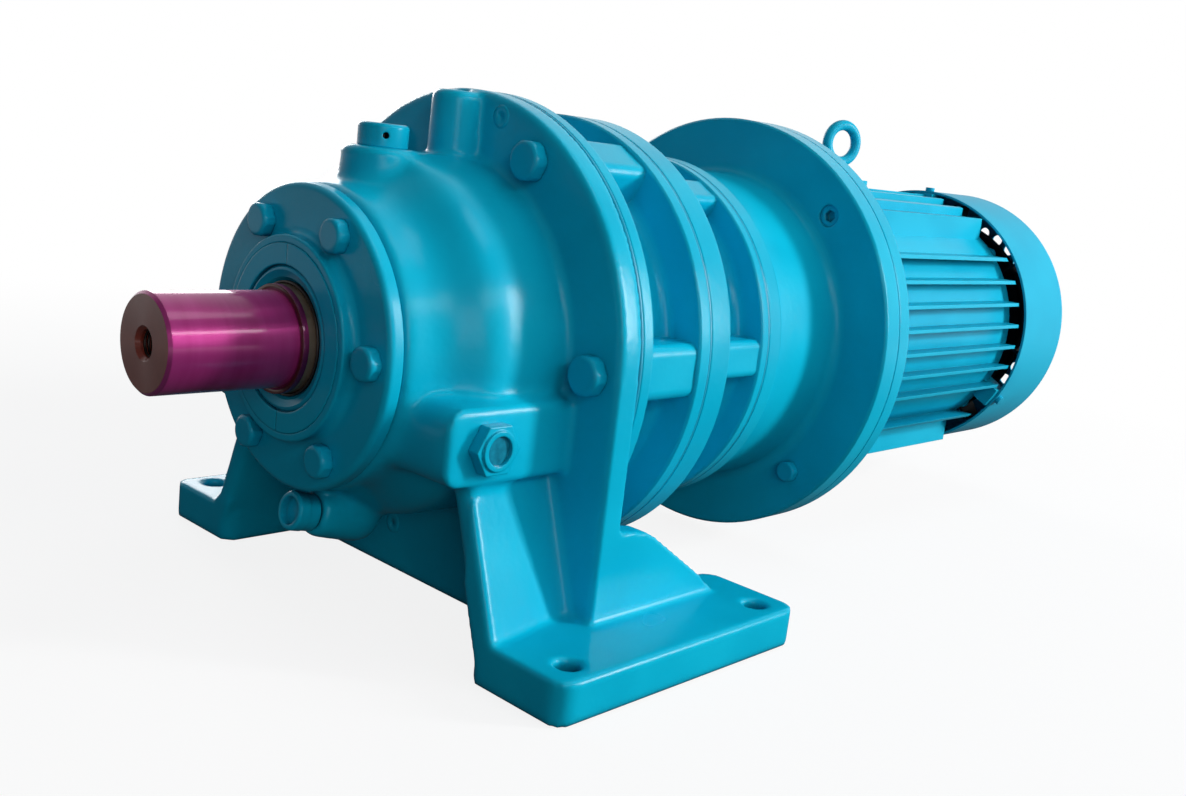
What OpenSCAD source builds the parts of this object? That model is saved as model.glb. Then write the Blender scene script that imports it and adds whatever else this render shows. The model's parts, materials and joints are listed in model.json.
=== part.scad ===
// Foot-mounted two-stage cycloidal gearmotor.
// +X runs along the shaft line towards the motor, +Z is up, -Y is the near side, and the
// origin is the centre of the four foot bolts on the base plane. Millimetres.
// A station is a place along X. An angle round the shaft line starts at the top and grows
// towards the near side.

/* [Feet] */
// Height of the shaft line above the base plane
centre_h = 200; // [200:1:260]
// Length of each foot plate along the shaft
foot_len = 252; // [240:1:300]
// Width over both feet
foot_width = 475; // [460:1:520]
// Width of one foot plate
foot_plate_w = 88; // [80:1:100]
// Thickness of a foot plate
foot_t = 30; // [24:1:40]
// Hole spacing along the shaft
foot_hole_dx = 200; // [180:1:204]
// Hole spacing across the shaft
foot_hole_dy = 430; // [420:1:436]
// Diameter of a foot hole
foot_hole_d = 18; // [16:1:22]
// Corner radius of a foot plate
foot_corner_r = 14; // [6:1:20]
// Distance from a foot's outer edge in to its leg web
leg_inset = 66.5; // [60:0.5:72]
// Thickness of a leg web
leg_web_t = 19; // [16:1:23]
// Thickness of a rear gusset
gusset_t = 20; // [14:1:26]
// Height of a rear gusset above the base plane
gusset_h = 94; // [70:1:110]
// Run of a rear gusset along the foot
gusset_run = 118; // [80:1:125]

/* [Base housing] */
// Distance from the foot centre forward to the big flange's front face
flange_forward = 43; // [36:1:50]
// Diameter of the big flange
flange_a_d = 360; // [352:1:380]
// Thickness of the base housing's own big flange
flange_a_t = 21; // [18:1:26]
// Length of the bell from its front face to the big flange
bell_len = 119; // [114:1:136]
// Diameter of the bell
bell_d = 260; // [252:1:272]
// Diameter of the neck behind the front cover
neck_d = 213; // [209:1:217]
// Length of the neck
neck_len = 12; // [9:1:15]
// Shoulder radius where the neck widens into the bell
bell_shoulder_r = 20; // [14:1:24]
// Fillet between the bell and the big flange
bell_fillet_r = 6; // [4:1:6]
// Lug diameter, for the lifting eye on the big flange
lug_d = 38; // [32:1:44]
// Tapped hole of the lug
lug_hole_d = 14; // [10:1:17]
// Diameter of the vent plug's boss
vent_boss_d = 56; // [46:1:60]
// Height of the vent boss above the bell
vent_boss_h = 2; // [1:1:8]
// Distance of the vent plug behind the bell's front face
vent_back = 49; // [42:1:56]
// Diameter of the vent plug's round head
vent_head_d = 35; // [28:1:36]
// Drop of the drain plug below the shaft line
drain_drop = 126; // [116:0.5:127]
// Diameter of the drain boss
drain_boss_d = 35.5; // [32:0.5:40]
// Distance of the gauge pad's front end behind the bell's front face
gauge_pad_back = 9; // [6:1:20]
// Height of the gauge pad
gauge_pad_h = 54; // [44:1:58]
// Distance from the shaft line out to the gauge pad's face
gauge_pad_out = 142; // [138:1:148]
// Drop of the gauge below the shaft line
gauge_drop = 46; // [42:1:50]

/* [Front cover] */
// Diameter of the cover's flange
cover_d = 209; // [205:1:212]
// Thickness of the cover's flange
cover_t = 11; // [9:1:13]
// Radius of the cover's rounded rim
cover_edge_r = 4; // [2:0.5:5]
// Height of the cover's round boss
cover_boss_h = 10; // [8:1:14]
// Diameter of the cover's round boss
cover_boss_d = 139; // [134:1:142]
// Bolt circle of the cover
cover_pcd = 172; // [168:1:176]

/* [Output shaft] */
// Diameter of the output shaft
shaft_d = 65; // [60:1:68]
// Free length of the output shaft ahead of the cover boss
shaft_reach = 97; // [80:1:130]
// Width of the key
key_w = 18; // [14:1:20]
// Depth of the keyway in the shaft
key_depth = 7; // [5:1:8]
// Length of the key
key_len = 70; // [50:1:75]
// Diameter of the tapped centre hole
centre_hole_d = 17.5; // [14:0.5:20]
// Depth of the tapped centre hole
centre_hole_len = 42; // [30:1:50]
// Outside diameter of the bronze wear sleeve
sleeve_d = 73.4; // [72:0.1:74]
// Length of the bronze wear sleeve
sleeve_len = 32; // [28:1:34]

/* [Low stage] */
// Lobes of a low-stage disc; the ring holds one pin more
low_lobes = 17; // [13:2:21]
// Radius of the circle of ring pins
low_ring_r = 112; // [108:1:114]
// Radius of a ring pin
low_pin_r = 8; // [6:0.5:8]
// Eccentricity
low_ecc = 4; // [3:0.25:4.5]
// Thickness of a disc
low_disc_t = 26; // [20:1:27]
// Number of output pins
low_out_n = 8; // [6:2:8]
// Radius of the circle of output pins
low_out_r = 68; // [66:1:70]
// Radius of an output pin
low_out_pin_r = 10; // [8:1:11]
// Radius of a roller on an output pin
low_roller_r = 14; // [13:1:15]
// Radius of the eccentric
low_ecc_r = 28; // [26:1:29]
// Radius of a disc's bearing bore
low_bore_r = 38; // [36:1:39]

/* [High stage] */
// Lobes of a high-stage disc; the ring holds one pin more
high_lobes = 11; // [9:2:15]
// Radius of the circle of ring pins
high_ring_r = 88; // [84:1:90]
// Radius of a ring pin
high_pin_r = 6; // [5:0.5:7]
// Eccentricity
high_ecc = 3.5; // [2.5:0.25:4]
// Thickness of a disc
high_disc_t = 20; // [16:1:21]
// Number of output pins
high_out_n = 6; // [4:2:6]
// Radius of the circle of output pins
high_out_r = 50; // [48:1:52]
// Radius of an output pin
high_out_pin_r = 6; // [5:1:7]
// Radius of a roller on an output pin
high_roller_r = 9; // [8:1:10]
// Radius of the eccentric
high_ecc_r = 20.5; // [20:0.5:21.5]
// Radius of a disc's bearing bore
high_bore_r = 27.5; // [26:0.5:29]

/* [Ring housings] */
// Length of the low-speed ring housing with its flanges
ring_low_len = 86; // [82:1:100]
// Length of the high-speed ring housing with its flanges
ring_high_len = 105; // [100:1:120]
// Barrel diameter of the low-speed ring housing
ring_low_barrel_d = 278; // [270:1:284]
// Barrel diameter of the high-speed ring housing
ring_high_barrel_d = 248; // [240:1:254]
// Diameter of the middle flange pair
flange_b_d = 342; // [336:1:350]
// Diameter of the rear flange pair
flange_c_d = 296; // [288:1:304]
// Thickness of the low ring housing's front and rear flange
ring_low_flange = [12, 13]; // [8:1:16]
// Thickness of the high ring housing's front and rear flange
ring_high_flange = [24, 10]; // [8:1:28]
// Width of a bolt pad between the low ring housing's flanges
low_pad_w = 40; // [34:1:44]
// Width of a bolt pad between the high ring housing's flanges
high_pad_w = 30; // [24:1:34]
// Bolt circle of the long screws
flange_pcd = 310; // [306:1:312]
// Angle of the first pad
pad_angle = 30; // [30:60:330]

/* [Motor adapter] */
// Length of the adapter with its flanges
adapter_len = 132; // [120:1:150]
// Diameter of the adapter's body
adapter_body_d = 280; // [272:1:286]
// Thickness of the adapter's front and motor-side flange
adapter_flange = [18, 22]; // [8:1:28]
// Diameter of the motor flange pair
motor_flange_d = 380; // [370:1:390]
// Thickness of the motor's own flange
motor_flange_t = 18; // [16:1:24]
// Bolt circle of the motor flange
motor_pcd = 324; // [316:1:332]

/* [Motor] */
// Length of the finned frame
frame_len = 331; // [300:1:360]
// Diameter of the frame under the fins
frame_core_d = 250; // [246:1:256]
// Diameter over the fins
fin_d = 281; // [276:1:284]
// Fins on each side
side_fins = 7; // [5:2:7]
// Pitch of the fins
fin_pitch = 23; // [20:0.5:24]
// Height of the middle side fin above the shaft line
fin_lift = 13; // [0:0.5:20]
// Thickness of a fin
fin_t = 3.6; // [3:0.1:5]
// Fins on the top and on the bottom
top_fins = 5; // [3:2:5]
// Pitch of the fins on the top and on the bottom
top_pitch = 25; // [20:0.5:26]
// Width and height of the square block behind the fins
frame_block = [153, 252]; // [140:1:256]
// Bore of the stator
stator_bore_d = 158; // [150:1:164]
// Length of the stator and rotor cores
core_len = 190; // [160:1:200]
// Gap between the frame and the fan cowl
cowl_gap = 8; // [6:1:14]
// Diameter of the fan cowl
cowl_d = 290; // [286:1:296]
// Length of the fan cowl
cowl_len = 105; // [94:1:120]
// Sheet thickness of the fan cowl
cowl_t = 2.5; // [2:0.5:3]
// Rings of holes in the cowl's rear
grille_rings = 6; // [4:1:7]
// Diameter of a hole in the cowl's rear
grille_hole_d = 12; // [8:1:13]
// Pitch of the rings of holes
grille_pitch = 18; // [17:1:20]
// Number of fan blades
fan_blades = 8; // [6:1:10]
// Diameter over the fan blades
fan_d = 268; // [240:1:270]
// Outer diameter of the lifting eye
eye_d = 47; // [43:1:52]
// Diameter of the lifting eye's hole
eye_hole_d = 26; // [23:1:28]

/* [Fits] */
// Radial running clearance of a shaft in its bearing or roller
run_gap = 0.08; // [0.04:0.01:0.1]
// Clearance between a disc and the pins that it rolls on
mesh_gap = 0.5; // [0.5:0.05:0.7]
// Clearance of a part seated in a bore, and round a screw
seat_gap = 0.1; // [0.05:0.05:0.2]
// End clearance between pieces that turn against each other
end_gap = 1; // [0.6:0.2:1.4]

/* [Hidden] */
$fn = 48;
TEAL = "#0a9cc0";
MOTOR_TEAL = "#28b4d2";
STEEL = "#9aa0a6";
BRIGHT = "#c8ccd0";

// Stations of the joints between the castings
x_flange_a = -flange_forward;
x_ring_low = x_flange_a + flange_a_t;
x_ring_high = x_ring_low + ring_low_len;
x_adapter = x_ring_high + ring_high_len;
x_motor = x_adapter + adapter_len;
x_frame = x_motor + motor_flange_t;
x_frame_end = x_frame + frame_len;
x_cowl = x_frame_end + cowl_gap;
x_cowl_end = x_cowl + cowl_len;
x_bell = x_flange_a - bell_len;
x_cover = x_bell - cover_t;
x_boss = x_cover - cover_boss_h;
x_shaft_end = x_boss - shaft_reach;

// Bearings: [bore radius, outer radius, width]
front_bearing = [37.5, 65, 25];
rear_bearing = [42.5, 75, 28];
pilot_bearing = [15, 26, 15];
plate_bearing = [25, 40, 18];
nose_bearing = [12.5, 21, 12];
adapter_bearing = [20, 40, 18];
drive_bearing = [25, 50, 22];
end_bearing = [20, 40, 18];
ring_part = 0.3; // share of a bearing's section that each ring takes

// Stations inside the gear case
carrier_t = 20;
x_carrier = x_ring_low - 4 - carrier_t;
x_rear_bearing = x_carrier - 6 - rear_bearing[2];
x_front_bearing = x_bell + 19;
x_low_a = x_ring_low + 8;
disc_space = 4;
x_low_b = x_low_a + low_disc_t + disc_space;
x_low_end = x_low_b + low_disc_t;
x_pilot = x_ring_low - 4 - pilot_bearing[2];
plate_t = 20;
x_plate_bearing = x_ring_high + plate_t - plate_bearing[2];
mid_carrier_t = 14;
x_mid_carrier = x_ring_high + plate_t + 3;
x_high_a = x_mid_carrier + mid_carrier_t + 5;
x_high_b = x_high_a + high_disc_t + disc_space;
x_high_end = x_high_b + high_disc_t;
x_nose = x_mid_carrier + mid_carrier_t - nose_bearing[2];
x_adapter_bearing = x_adapter + 3;
adapter_wall_t = 34;
low_case_r = low_ring_r + 2;
high_case_r = high_ring_r + 2;
base_cavity_r = low_ring_r - 4;
carrier_r = low_out_r + low_out_pin_r + 14;
mid_carrier_r = high_out_r + high_out_pin_r + 9;
plate_r = 104;

// Stations inside the motor
x_drive_bearing = x_frame - 12;
x_core = x_frame + 66;
x_end_bearing = x_frame_end - end_bearing[2] - 4;
shield_t = 14;
x_fan = x_cowl + 34;
fan_len = 34;
frame_bore_r = frame_core_d / 2 - 12;
core_r = frame_bore_r - seat_gap;
stator_bore_r = stator_bore_d / 2;
air_gap = 0.6;
winding_len = 32;

seal_r = 49;
retainer_r = 64;
retainer_t = 3;
plate_screw_r = (plate_r + high_case_r) / 2;
adapter_screw_r = plate_r;
locating_r = flange_a_d / 2 - 13;
locating_angle = 14;
motor_spigot_r = 130;
adapter_bore_r = 115;
shield_screw_r = frame_bore_r + 6;
eye_boss_z = centre_h + frame_core_d / 2 + 23;
eye_stand = 11; // height of the ring's foot above its boss
eye_turn = 18;
eye_x = x_frame + 145;
box_x = x_frame + 141;
box_size = [110, 50, 90]; // along the shaft, across it, and height
box_seat = fin_d / 2;
lobe_points = 24;
x_sleeve = x_boss - 7;
sleeve_seat_r = shaft_d / 2 + 1;
low_shaft_r = 20;
high_shaft_r = 14;
rotor_shaft_r = 30;
fan_bore_r = 15;
gauge_x = x_bell + 45;
lug_x = x_flange_a - 6;
lug_rise = -3; // height of the lug's top above the big flange's rim
leg_out = foot_width / 2 - leg_inset;
leg_top = centre_h - 60;
leg_lean = atan2(leg_out - gauge_pad_out + 11, leg_top - foot_t);
leg_slant = 13; // how much further in a web's outer face is at the flange than at its front
shoulder_turn = 38; // degrees that each arc of the bell's shoulder turns
drain_tilt = 12;
drain_x = x_bell + 11;
breather_turn = 31;
key_angle = 36;
fan_disc_r = 108;
grille_turn = 25.7;
fan_turn = 9;
lower_fin = 4.7; // pitches from the middle side fin down to the lowest
fin_tip_r = fin_d / 2;
block_r = fin_tip_r + 11;
block_drop = 4; // how far the block's middle lies below the shaft line

// Screw sizes: [shank radius, width over flats, head height]
m6 = [3, 10, 4];
m8 = [4, 13, 5.5];
m10 = [5, 16, 6.5];
m12 = [6, 18, 8];
m14 = [7, 22, 9];
m18 = [9, 27, 11];

// ---- helpers -------------------------------------------------------------------------

// Points of an arc, in degrees
function arc(cx, cy, r, a0, a1, n = 5) =
    [for (i = [0:n]) let (a = a0 + (a1 - a0) * i / n) [cx + r * cos(a), cy + r * sin(a)]];

// Outline of a cycloid disc with n lobes that rolls in n + 1 pins of radius rp at radius R
function cycloid(R, rp, e, n, per_lobe) =
    [for (i = [0:n * per_lobe - 1])
        let (t = 360 * i / (n * per_lobe),
             s = -atan2(sin(n * t), R / (e * (n + 1)) - cos(n * t)))
        [R * cos(t) - rp * cos(t + s) - e * cos((n + 1) * t),
         R * sin(t) - rp * sin(t + s) - e * sin((n + 1) * t)]];

// Moves a child from the world origin to the shaft line
module on_axis() translate([0, 0, centre_h]) children();

// Copies round the shaft line, the first at the given angle from the top
module around(n, first = 0)
    for (i = [0:n - 1]) rotate([first + 360 * i / n, 0, 0]) children();

// Solid of revolution round the shaft line from [radius, station] points
module turned(points) on_axis() rotate([0, 90, 0]) rotate_extrude($fn = 96) polygon(points);

// Rod along X at the present origin
module rod(r, x0, x1) translate([x0, 0, 0]) rotate([0, 90, 0]) cylinder(r = r, h = x1 - x0);

// Ring round the shaft line
module ring(r_in, r_out, x0, x1)
    turned([[r_in, x0], [r_out, x0], [r_out, x1], [r_in, x1]]);

// Rectangle with true round corners
module round_rect(w, h, r) {
    translate([r - w / 2, -h / 2]) square([w - 2 * r, h]);
    translate([-w / 2, r - h / 2]) square([w, h - 2 * r]);
    for (sx = [-1, 1], sy = [-1, 1])
        translate([sx * (w / 2 - r), sy * (h / 2 - r)]) circle(r);
}

// Solid of revolution along X at the present origin from [radius, place] points
module spun(points) rotate([0, 90, 0]) rotate_extrude() polygon(points);

// Hex screw along X with rounded corners: its head rests at station x0, its shank reaches x1
module hex_screw(size, x0, x1)
    translate([x0, 0, 0]) mirror([x1 < x0 ? 1 : 0, 0, 0]) {
        af = size[1];
        rod(size[0] - seat_gap, -0.5, abs(x1 - x0));
        translate([-size[2], 0, 0]) intersection() {
            rotate([0, 90, 0]) cylinder(d = af / cos(30), h = size[2], $fn = 6);
            spun([[0, 0], [af * 0.44, 0], [af * 0.5, af * 0.04], [af * 0.53, af * 0.12],
                  [af * 0.53, size[2]], [0, size[2]]]);
        }
    }

// Hex nut along X
module hex_nut(size, x0) difference() {
    translate([x0, 0, 0]) rotate([0, 90, 0])
        cylinder(d = size[1] / cos(30), h = size[0] * 1.6, $fn = 6);
    rod(size[0] + seat_gap, x0 - 1, x0 + size[0] * 2);
}

// Socket head screw along X: its head rests at station x0, its shank reaches station x1
module socket_screw(size, x0, x1)
    translate([x0, 0, 0]) mirror([x1 < x0 ? 1 : 0, 0, 0]) difference() {
        union() {
            rod(size[0] - seat_gap, -0.5, abs(x1 - x0));
            rod(size[0] * 1.6, -size[0] * 1.6, 0);
        }
        translate([-size[0] * 1.7, 0, 0]) rotate([0, 90, 0])
            cylinder(r = size[0] * 0.9, h = size[0], $fn = 6);
    }

// Outer ring and balls of a ball bearing that starts at station x0
module bearing_outer(b, x0, balls = 10) {
    wall = (b[1] - b[0]) * ring_part;
    ring(b[1] - wall, b[1] - seat_gap, x0, x0 + b[2]);
    ball_r = (b[1] - b[0]) * (0.5 - ring_part) - run_gap;
    on_axis() around(balls)
        translate([x0 + b[2] / 2, 0, (b[0] + b[1]) / 2]) sphere(ball_r, $fn = 24);
}

// Inner ring of the same bearing
module bearing_inner(b, x0) {
    wall = (b[1] - b[0]) * ring_part;
    ring(b[0] + seat_gap, b[0] + wall, x0, x0 + b[2]);
}

// ---- base casting and what is screwed to it ------------------------------------------

// One foot plate on the +Y side
module foot_plate() {
    mid = foot_width / 2 - foot_plate_w / 2;
    translate([0, mid, 0]) linear_extrude(foot_t)
        round_rect(foot_len, foot_plate_w, foot_corner_r);
}

// The leaning web that carries the bell on one foot, on the +Y side
module leg_web() {
    front = -foot_len / 2;
    rear = x_flange_a + 1;
    blend = 9;
    slope = leg_slant / (rear - front);
    side = -leg_slant + slope * blend;
    root = foot_t * 0.67;
    translate([0, leg_out, foot_t]) rotate([leg_lean, 0, 0]) translate([0, 0, -root])
        linear_extrude((leg_top - foot_t) / cos(leg_lean) + root)
            polygon(concat([[front, -leg_web_t]], arc(front + 3, -3, 3, 180, 90, 3),
                           arc(x_flange_a - blend, side + blend, blend, 270, 360),
                           [[rear, side + blend], [rear, -leg_slant - leg_web_t]]));
}

// The gusset behind the big flange, on the +Y side
module gusset() {
    face = flange_a_d / 2;
    x0 = x_ring_low - 1;
    translate([0, face, 0]) rotate([90, 0, 0]) linear_extrude(gusset_t)
        polygon([[x0, foot_t - 1], [x0, gusset_h], [x0 + 28, gusset_h - 4], [x0 + 40, gusset_h - 10],
                 [x0 + gusset_run - 22, gusset_h / 2], [x0 + gusset_run, foot_t - 1]]);
}

// Pad for an oil gauge on the side of the bell, on the +Y side; its rear end is in the flange
module gauge_pad_block() {
    front = x_bell + gauge_pad_back;
    rear = x_flange_a + 17;
    deep = 64;
    half = gauge_pad_h / 2;
    edge = 6;
    translate([0, gauge_pad_out - deep, centre_h - gauge_drop]) intersection() {
        translate([(front + rear) / 2, deep, 0]) rotate([90, 0, 0])
            linear_extrude(deep) round_rect(rear - front, gauge_pad_h, 16);
        translate([front - 1, 0, 0]) rotate([90, 0, 90]) linear_extrude(rear - front + 2)
            polygon(concat([[0, -half]], arc(deep - edge, edge - half, edge, -90, 0),
                           arc(deep - edge, half - edge, edge, 0, 90), [[0, half]]));
        translate([0, 0, -half]) linear_extrude(gauge_pad_h)
            polygon(concat([[rear, deep], [rear, 0], [front, 0]],
                           arc(front + edge, deep - edge, edge, 180, 90)));
    }
}

// Places a child on the leaning drain boss, its X along the plug towards the rear
module drain_place()
    translate([drain_x, 0, centre_h - drain_drop]) rotate([0, drain_tilt, 0]) children();

module base_housing() color(TEAL) {
    front = x_bell;
    bell_r = bell_d / 2;
    neck_r = neck_d / 2;
    shoulder = front + neck_len;
    round_r = bell_shoulder_r;
    rise = 1 - cos(shoulder_turn);
    hollow_r = min(2 * round_r, (bell_r - neck_r) / rise - round_r);
    x_round = shoulder + (hollow_r + round_r) * sin(shoulder_turn)
        + (bell_r - neck_r - (hollow_r + round_r) * rise) / tan(shoulder_turn);
    boss_top = bell_r + vent_boss_h;
    vent_r = vent_boss_d / 2;
    drain_r = drain_boss_d / 2;
    face_r = flange_a_d / 2;
    fb = front_bearing;
    fb_end = x_front_bearing + fb[2];
    rb = rear_bearing;
    difference() {
        union() {
            // bell and big flange
            turned(concat(
                [[30, front], [neck_r - 0.8, front], [neck_r, front + 0.8]],
                arc(neck_r + hollow_r, shoulder, hollow_r, 180, 180 - shoulder_turn),
                arc(bell_r - round_r, x_round, round_r, -shoulder_turn, 0),
                arc(bell_r + 1 + bell_fillet_r, x_flange_a - bell_fillet_r, bell_fillet_r, 180, 90),
                [[face_r - 2, x_flange_a], [face_r, x_flange_a + 2], [face_r, x_ring_low],
                 [30, x_ring_low]]));
            // plate that carries the big flange down to both feet
            translate([x_flange_a, -face_r, 0]) cube([flange_a_t, 2 * face_r, centre_h]);
            for (side = [0, 1]) mirror([0, side, 0]) {
                foot_plate();
                leg_web();
                gusset();
                gauge_pad_block();
            }
            // vent boss with a ridge behind it, lifting lug and drain boss
            translate([front + vent_back, 0, centre_h]) rotate_extrude()
                polygon(concat([[0, bell_r - 40], [vent_r + 1, bell_r - 40]],
                               arc(vent_r - 6, boss_top - 6, 6, 0, 90), [[0, boss_top]]));
            translate([front + vent_back, 0, centre_h]) rotate([90, 0, 90])
                linear_extrude(bell_len - vent_back + 1)
                    polygon([[-42, bell_r - 20], [-42, bell_r - 7.5], [-17, boss_top - 1],
                             [17, boss_top - 1], [42, bell_r - 7.5], [42, bell_r - 20]]);
            translate([lug_x, 0, centre_h]) rotate_extrude()
                polygon(concat([[0, bell_r - 20], [lug_d / 2 + 1.5, bell_r - 20]],
                               arc(lug_d / 2 - 5, face_r + lug_rise - 5, 5, 0, 90),
                               [[0, face_r + lug_rise]]));
            drain_place() spun([[0, 0], [drain_r - 1.5, 0], [drain_r, 1.5], [drain_r + 2, 40],
                                [drain_r + 1, 46], [drain_r - 3, 54], [0, 58]]);
        }
        // cover spigot bore, bearing seats and oil space
        turned([[0, front - 1], [fb[1], front - 1], [fb[1], fb_end], [fb[1] - 6, fb_end],
                [fb[1] - 6, fb_end + 4], [bell_r - 26, fb_end + 10],
                [bell_r - 26, x_rear_bearing - 14], [rb[1] - 6, x_rear_bearing - 8],
                [rb[1] - 6, x_rear_bearing], [rb[1], x_rear_bearing],
                [rb[1], x_rear_bearing + rb[2]], [base_cavity_r, x_rear_bearing + rb[2] + 2],
                [base_cavity_r, x_ring_low + 1], [0, x_ring_low + 1]]);
        // screw holes of the cover and of the big flange
        on_axis() around(6, 30) translate([0, 0, cover_pcd / 2]) rod(m14[0], front - 1, front + 26);
        on_axis() around(6, pad_angle) translate([0, 0, flange_pcd / 2])
            rod(m18[0] + 0.5, x_flange_a - 1, x_ring_low + 1);
        on_axis() around(2, locating_angle) translate([0, 0, locating_r])
            rod(m12[0], x_flange_a + 2, x_ring_low + 1);
        // vent, lug, gauge and drain holes
        translate([front + vent_back, 0, centre_h + bell_r - 60]) cylinder(r = 9, h = 80);
        translate([lug_x, 0, centre_h + face_r - 34]) cylinder(d = lug_hole_d, h = 60);
        translate([gauge_x, -gauge_pad_out + 60, centre_h - gauge_drop]) rotate([90, 0, 0])
            cylinder(r = 10, h = 80);
        drain_place() rod(8.5, -1, 46);
        drain_place() rod(14.3, -20, 0);
        drain_place() translate([40, 0, 0]) cylinder(r = 6, h = 40);
        // foot holes
        for (sx = [-1, 1], sy = [-1, 1])
            translate([sx * foot_hole_dx / 2, sy * foot_hole_dy / 2, -1])
                cylinder(d = foot_hole_d, h = foot_t + 2);
    }
}

module front_cover() color(TEAL) {
    boss_r = cover_boss_d / 2;
    rim_r = cover_d / 2;
    spigot_end = x_front_bearing - end_gap / 3;
    difference() {
        turned(concat(
            [[retainer_r, x_boss], [boss_r - 1, x_boss], [boss_r, x_boss + 1]],
            arc(boss_r + 5, x_cover - 5, 5, 180, 90),
            arc(rim_r - cover_edge_r, x_cover + cover_edge_r, cover_edge_r, -90, 0),
            [[rim_r, x_bell - 0.5], [rim_r - 0.5, x_bell],
             [front_bearing[1] - seat_gap, x_bell], [front_bearing[1] - seat_gap, spigot_end],
             [seal_r - 7, spigot_end], [seal_r - 7, x_boss + 16], [seal_r + seat_gap, x_boss + 16],
             [seal_r + seat_gap, x_boss + retainer_t], [retainer_r, x_boss + retainer_t]]));
        on_axis() around(6, 30) translate([0, 0, cover_pcd / 2])
            rod(m14[0] + 0.5, x_cover - 1, x_bell + 1);
    }
}

module cover_screws() color(TEAL)
    on_axis() around(6, 30) translate([0, 0, cover_pcd / 2])
        hex_screw(m14, x_cover, x_bell + 24);

// Two half rings that hold the oil seal in the cover's boss
module seal_retainer() color(TEAL) difference() {
    ring(seal_r + 0.6, retainer_r - 0.2, x_boss - 0.4, x_boss + retainer_t);
    on_axis() translate([x_boss - 5, -0.3, -100]) cube([20, 0.6, 200]);
}

module oil_seals() color("#2a2c2e") {
    lip_r = sleeve_d / 2 + run_gap;
    turned(concat([[lip_r, x_boss + 15.8], [lip_r, x_boss + 7], [lip_r + 3, x_boss + 4],
                   [lip_r + 4.5, x_boss + 2]],
                  arc(seal_r - 3, x_boss + 3, 3, -90, 0),
                  [[seal_r, x_boss + 15.8]]));
    ring(adapter_bearing[0] + 1 + run_gap, adapter_bearing[1] - 8 - seat_gap,
         x_adapter_bearing + adapter_bearing[2] + 4, x_adapter_bearing + adapter_bearing[2] + 14);
}

module case_bearing_outer() color(BRIGHT) {
    bearing_outer(front_bearing, x_front_bearing, 11);
    bearing_outer(rear_bearing, x_rear_bearing, 11);
    bearing_outer(plate_bearing, x_plate_bearing, 10);
    bearing_outer(adapter_bearing, x_adapter_bearing, 9);
}

module vent_plug() color(TEAL) translate([x_bell + vent_back, 0, centre_h + bell_d / 2 + vent_boss_h])
    difference() {
        head_r = vent_head_d / 2;
        union() {
            rotate_extrude($fn = 64) polygon(concat([[0, 0], [head_r, 0]], arc(head_r - 3, 13, 3, 0, 90),
                                                    [[0, 16]]));
            translate([0, 0, -20]) cylinder(r = 9 - seat_gap, h = 21);
        }
        // breather hole across the head
        translate([0, 0, 8]) rotate([90, 0, -breather_turn]) cylinder(r = 2.2, h = 60, center = true);
    }

module gauge_place() translate([gauge_x, -gauge_pad_out, centre_h - gauge_drop]) rotate([90, 0, 0])
    children();

module oil_gauge() color(TEAL) gauge_place() difference() {
    union() {
        cylinder(d = 32 / cos(30), h = 9, $fn = 6);
        cylinder(r = 13.5, h = 10.5);
        translate([0, 0, -18]) cylinder(r = 10 - seat_gap, h = 19);
    }
    translate([0, 0, 4]) cylinder(r = 10, h = 10);
    translate([0, 0, -20]) cylinder(r = 6, h = 40);
}

module gauge_lens() color(TEAL, 0.9) gauge_place() translate([0, 0, 4]) cylinder(r = 10 - seat_gap, h = 4);

module drain_plug() color(TEAL) drain_place() difference() {
    union() {
        spun([[0, -17.5], [12.6, -17.5], [14, -16], [14, -8.5], [13.6, -8], [13.6, 0], [0, 0]]);
        rod(8.5 - seat_gap, -1, 28);
    }
    rod(10, -18.5, -11.5);
}

// ---- ring housings and their pins ----------------------------------------------------

// Profile of a ring housing's outside: two flanges and a filleted barrel between them
function spool(x0, x1, flange, r_front, r_rear, r_barrel, fillet) = concat(
    [[r_front - 1.5, x0], [r_front, x0 + 1.5], [r_front, x0 + flange[0] - 1.5],
     [r_front - 1.5, x0 + flange[0]]],
    arc(r_barrel + fillet, x0 + flange[0] + fillet, fillet, 270, 180),
    arc(r_barrel + fillet, x1 - flange[1] - fillet, fillet, 180, 90),
    [[r_rear - 1.5, x1 - flange[1]], [r_rear, x1 - flange[1] + 1.5], [r_rear, x1 - 1.5],
     [r_rear - 1.5, x1]]);

// Bolt pads between two flanges, w wide, from radius r_in out to r_out, with round edges
module bolt_pads(x0, x1, r_in, r_out, w, edge) on_axis() around(6, pad_angle)
    translate([x0, 0, 0]) rotate([90, 0, 90]) linear_extrude(x1 - x0) {
        translate([-w / 2, r_in]) square([w, r_out - edge - r_in]);
        translate([edge - w / 2, r_in]) square([w - 2 * edge, r_out - r_in]);
        for (side = [-1, 1]) translate([side * (w / 2 - edge), r_out - edge]) circle(edge);
    }

module ring_housing_low() color(TEAL) {
    x0 = x_ring_low;
    x1 = x_ring_high;
    difference() {
        union() {
            turned(concat([[low_case_r, x0]],
                spool(x0, x1, ring_low_flange, flange_a_d / 2, flange_b_d / 2,
                      ring_low_barrel_d / 2, 8),
                [[low_case_r, x1]]));
            bolt_pads(x0 + 1, x1 - 1, low_case_r + 10, flange_b_d / 2 - 3, low_pad_w, 8);
        }
        on_axis() around(low_lobes + 1, 270) translate([0, 0, low_ring_r])
            rod(low_pin_r + seat_gap / 2, x0 - 1, x1 - 2);
        on_axis() around(6, pad_angle) translate([0, 0, flange_pcd / 2]) rod(m18[0] + 0.5, x0 - 1, x1 + 1);
        on_axis() around(2, locating_angle) translate([0, 0, locating_r])
            rod(m12[0] + 0.3, x0 - 1, x0 + ring_low_flange[0] + 1);
    }
}

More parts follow.
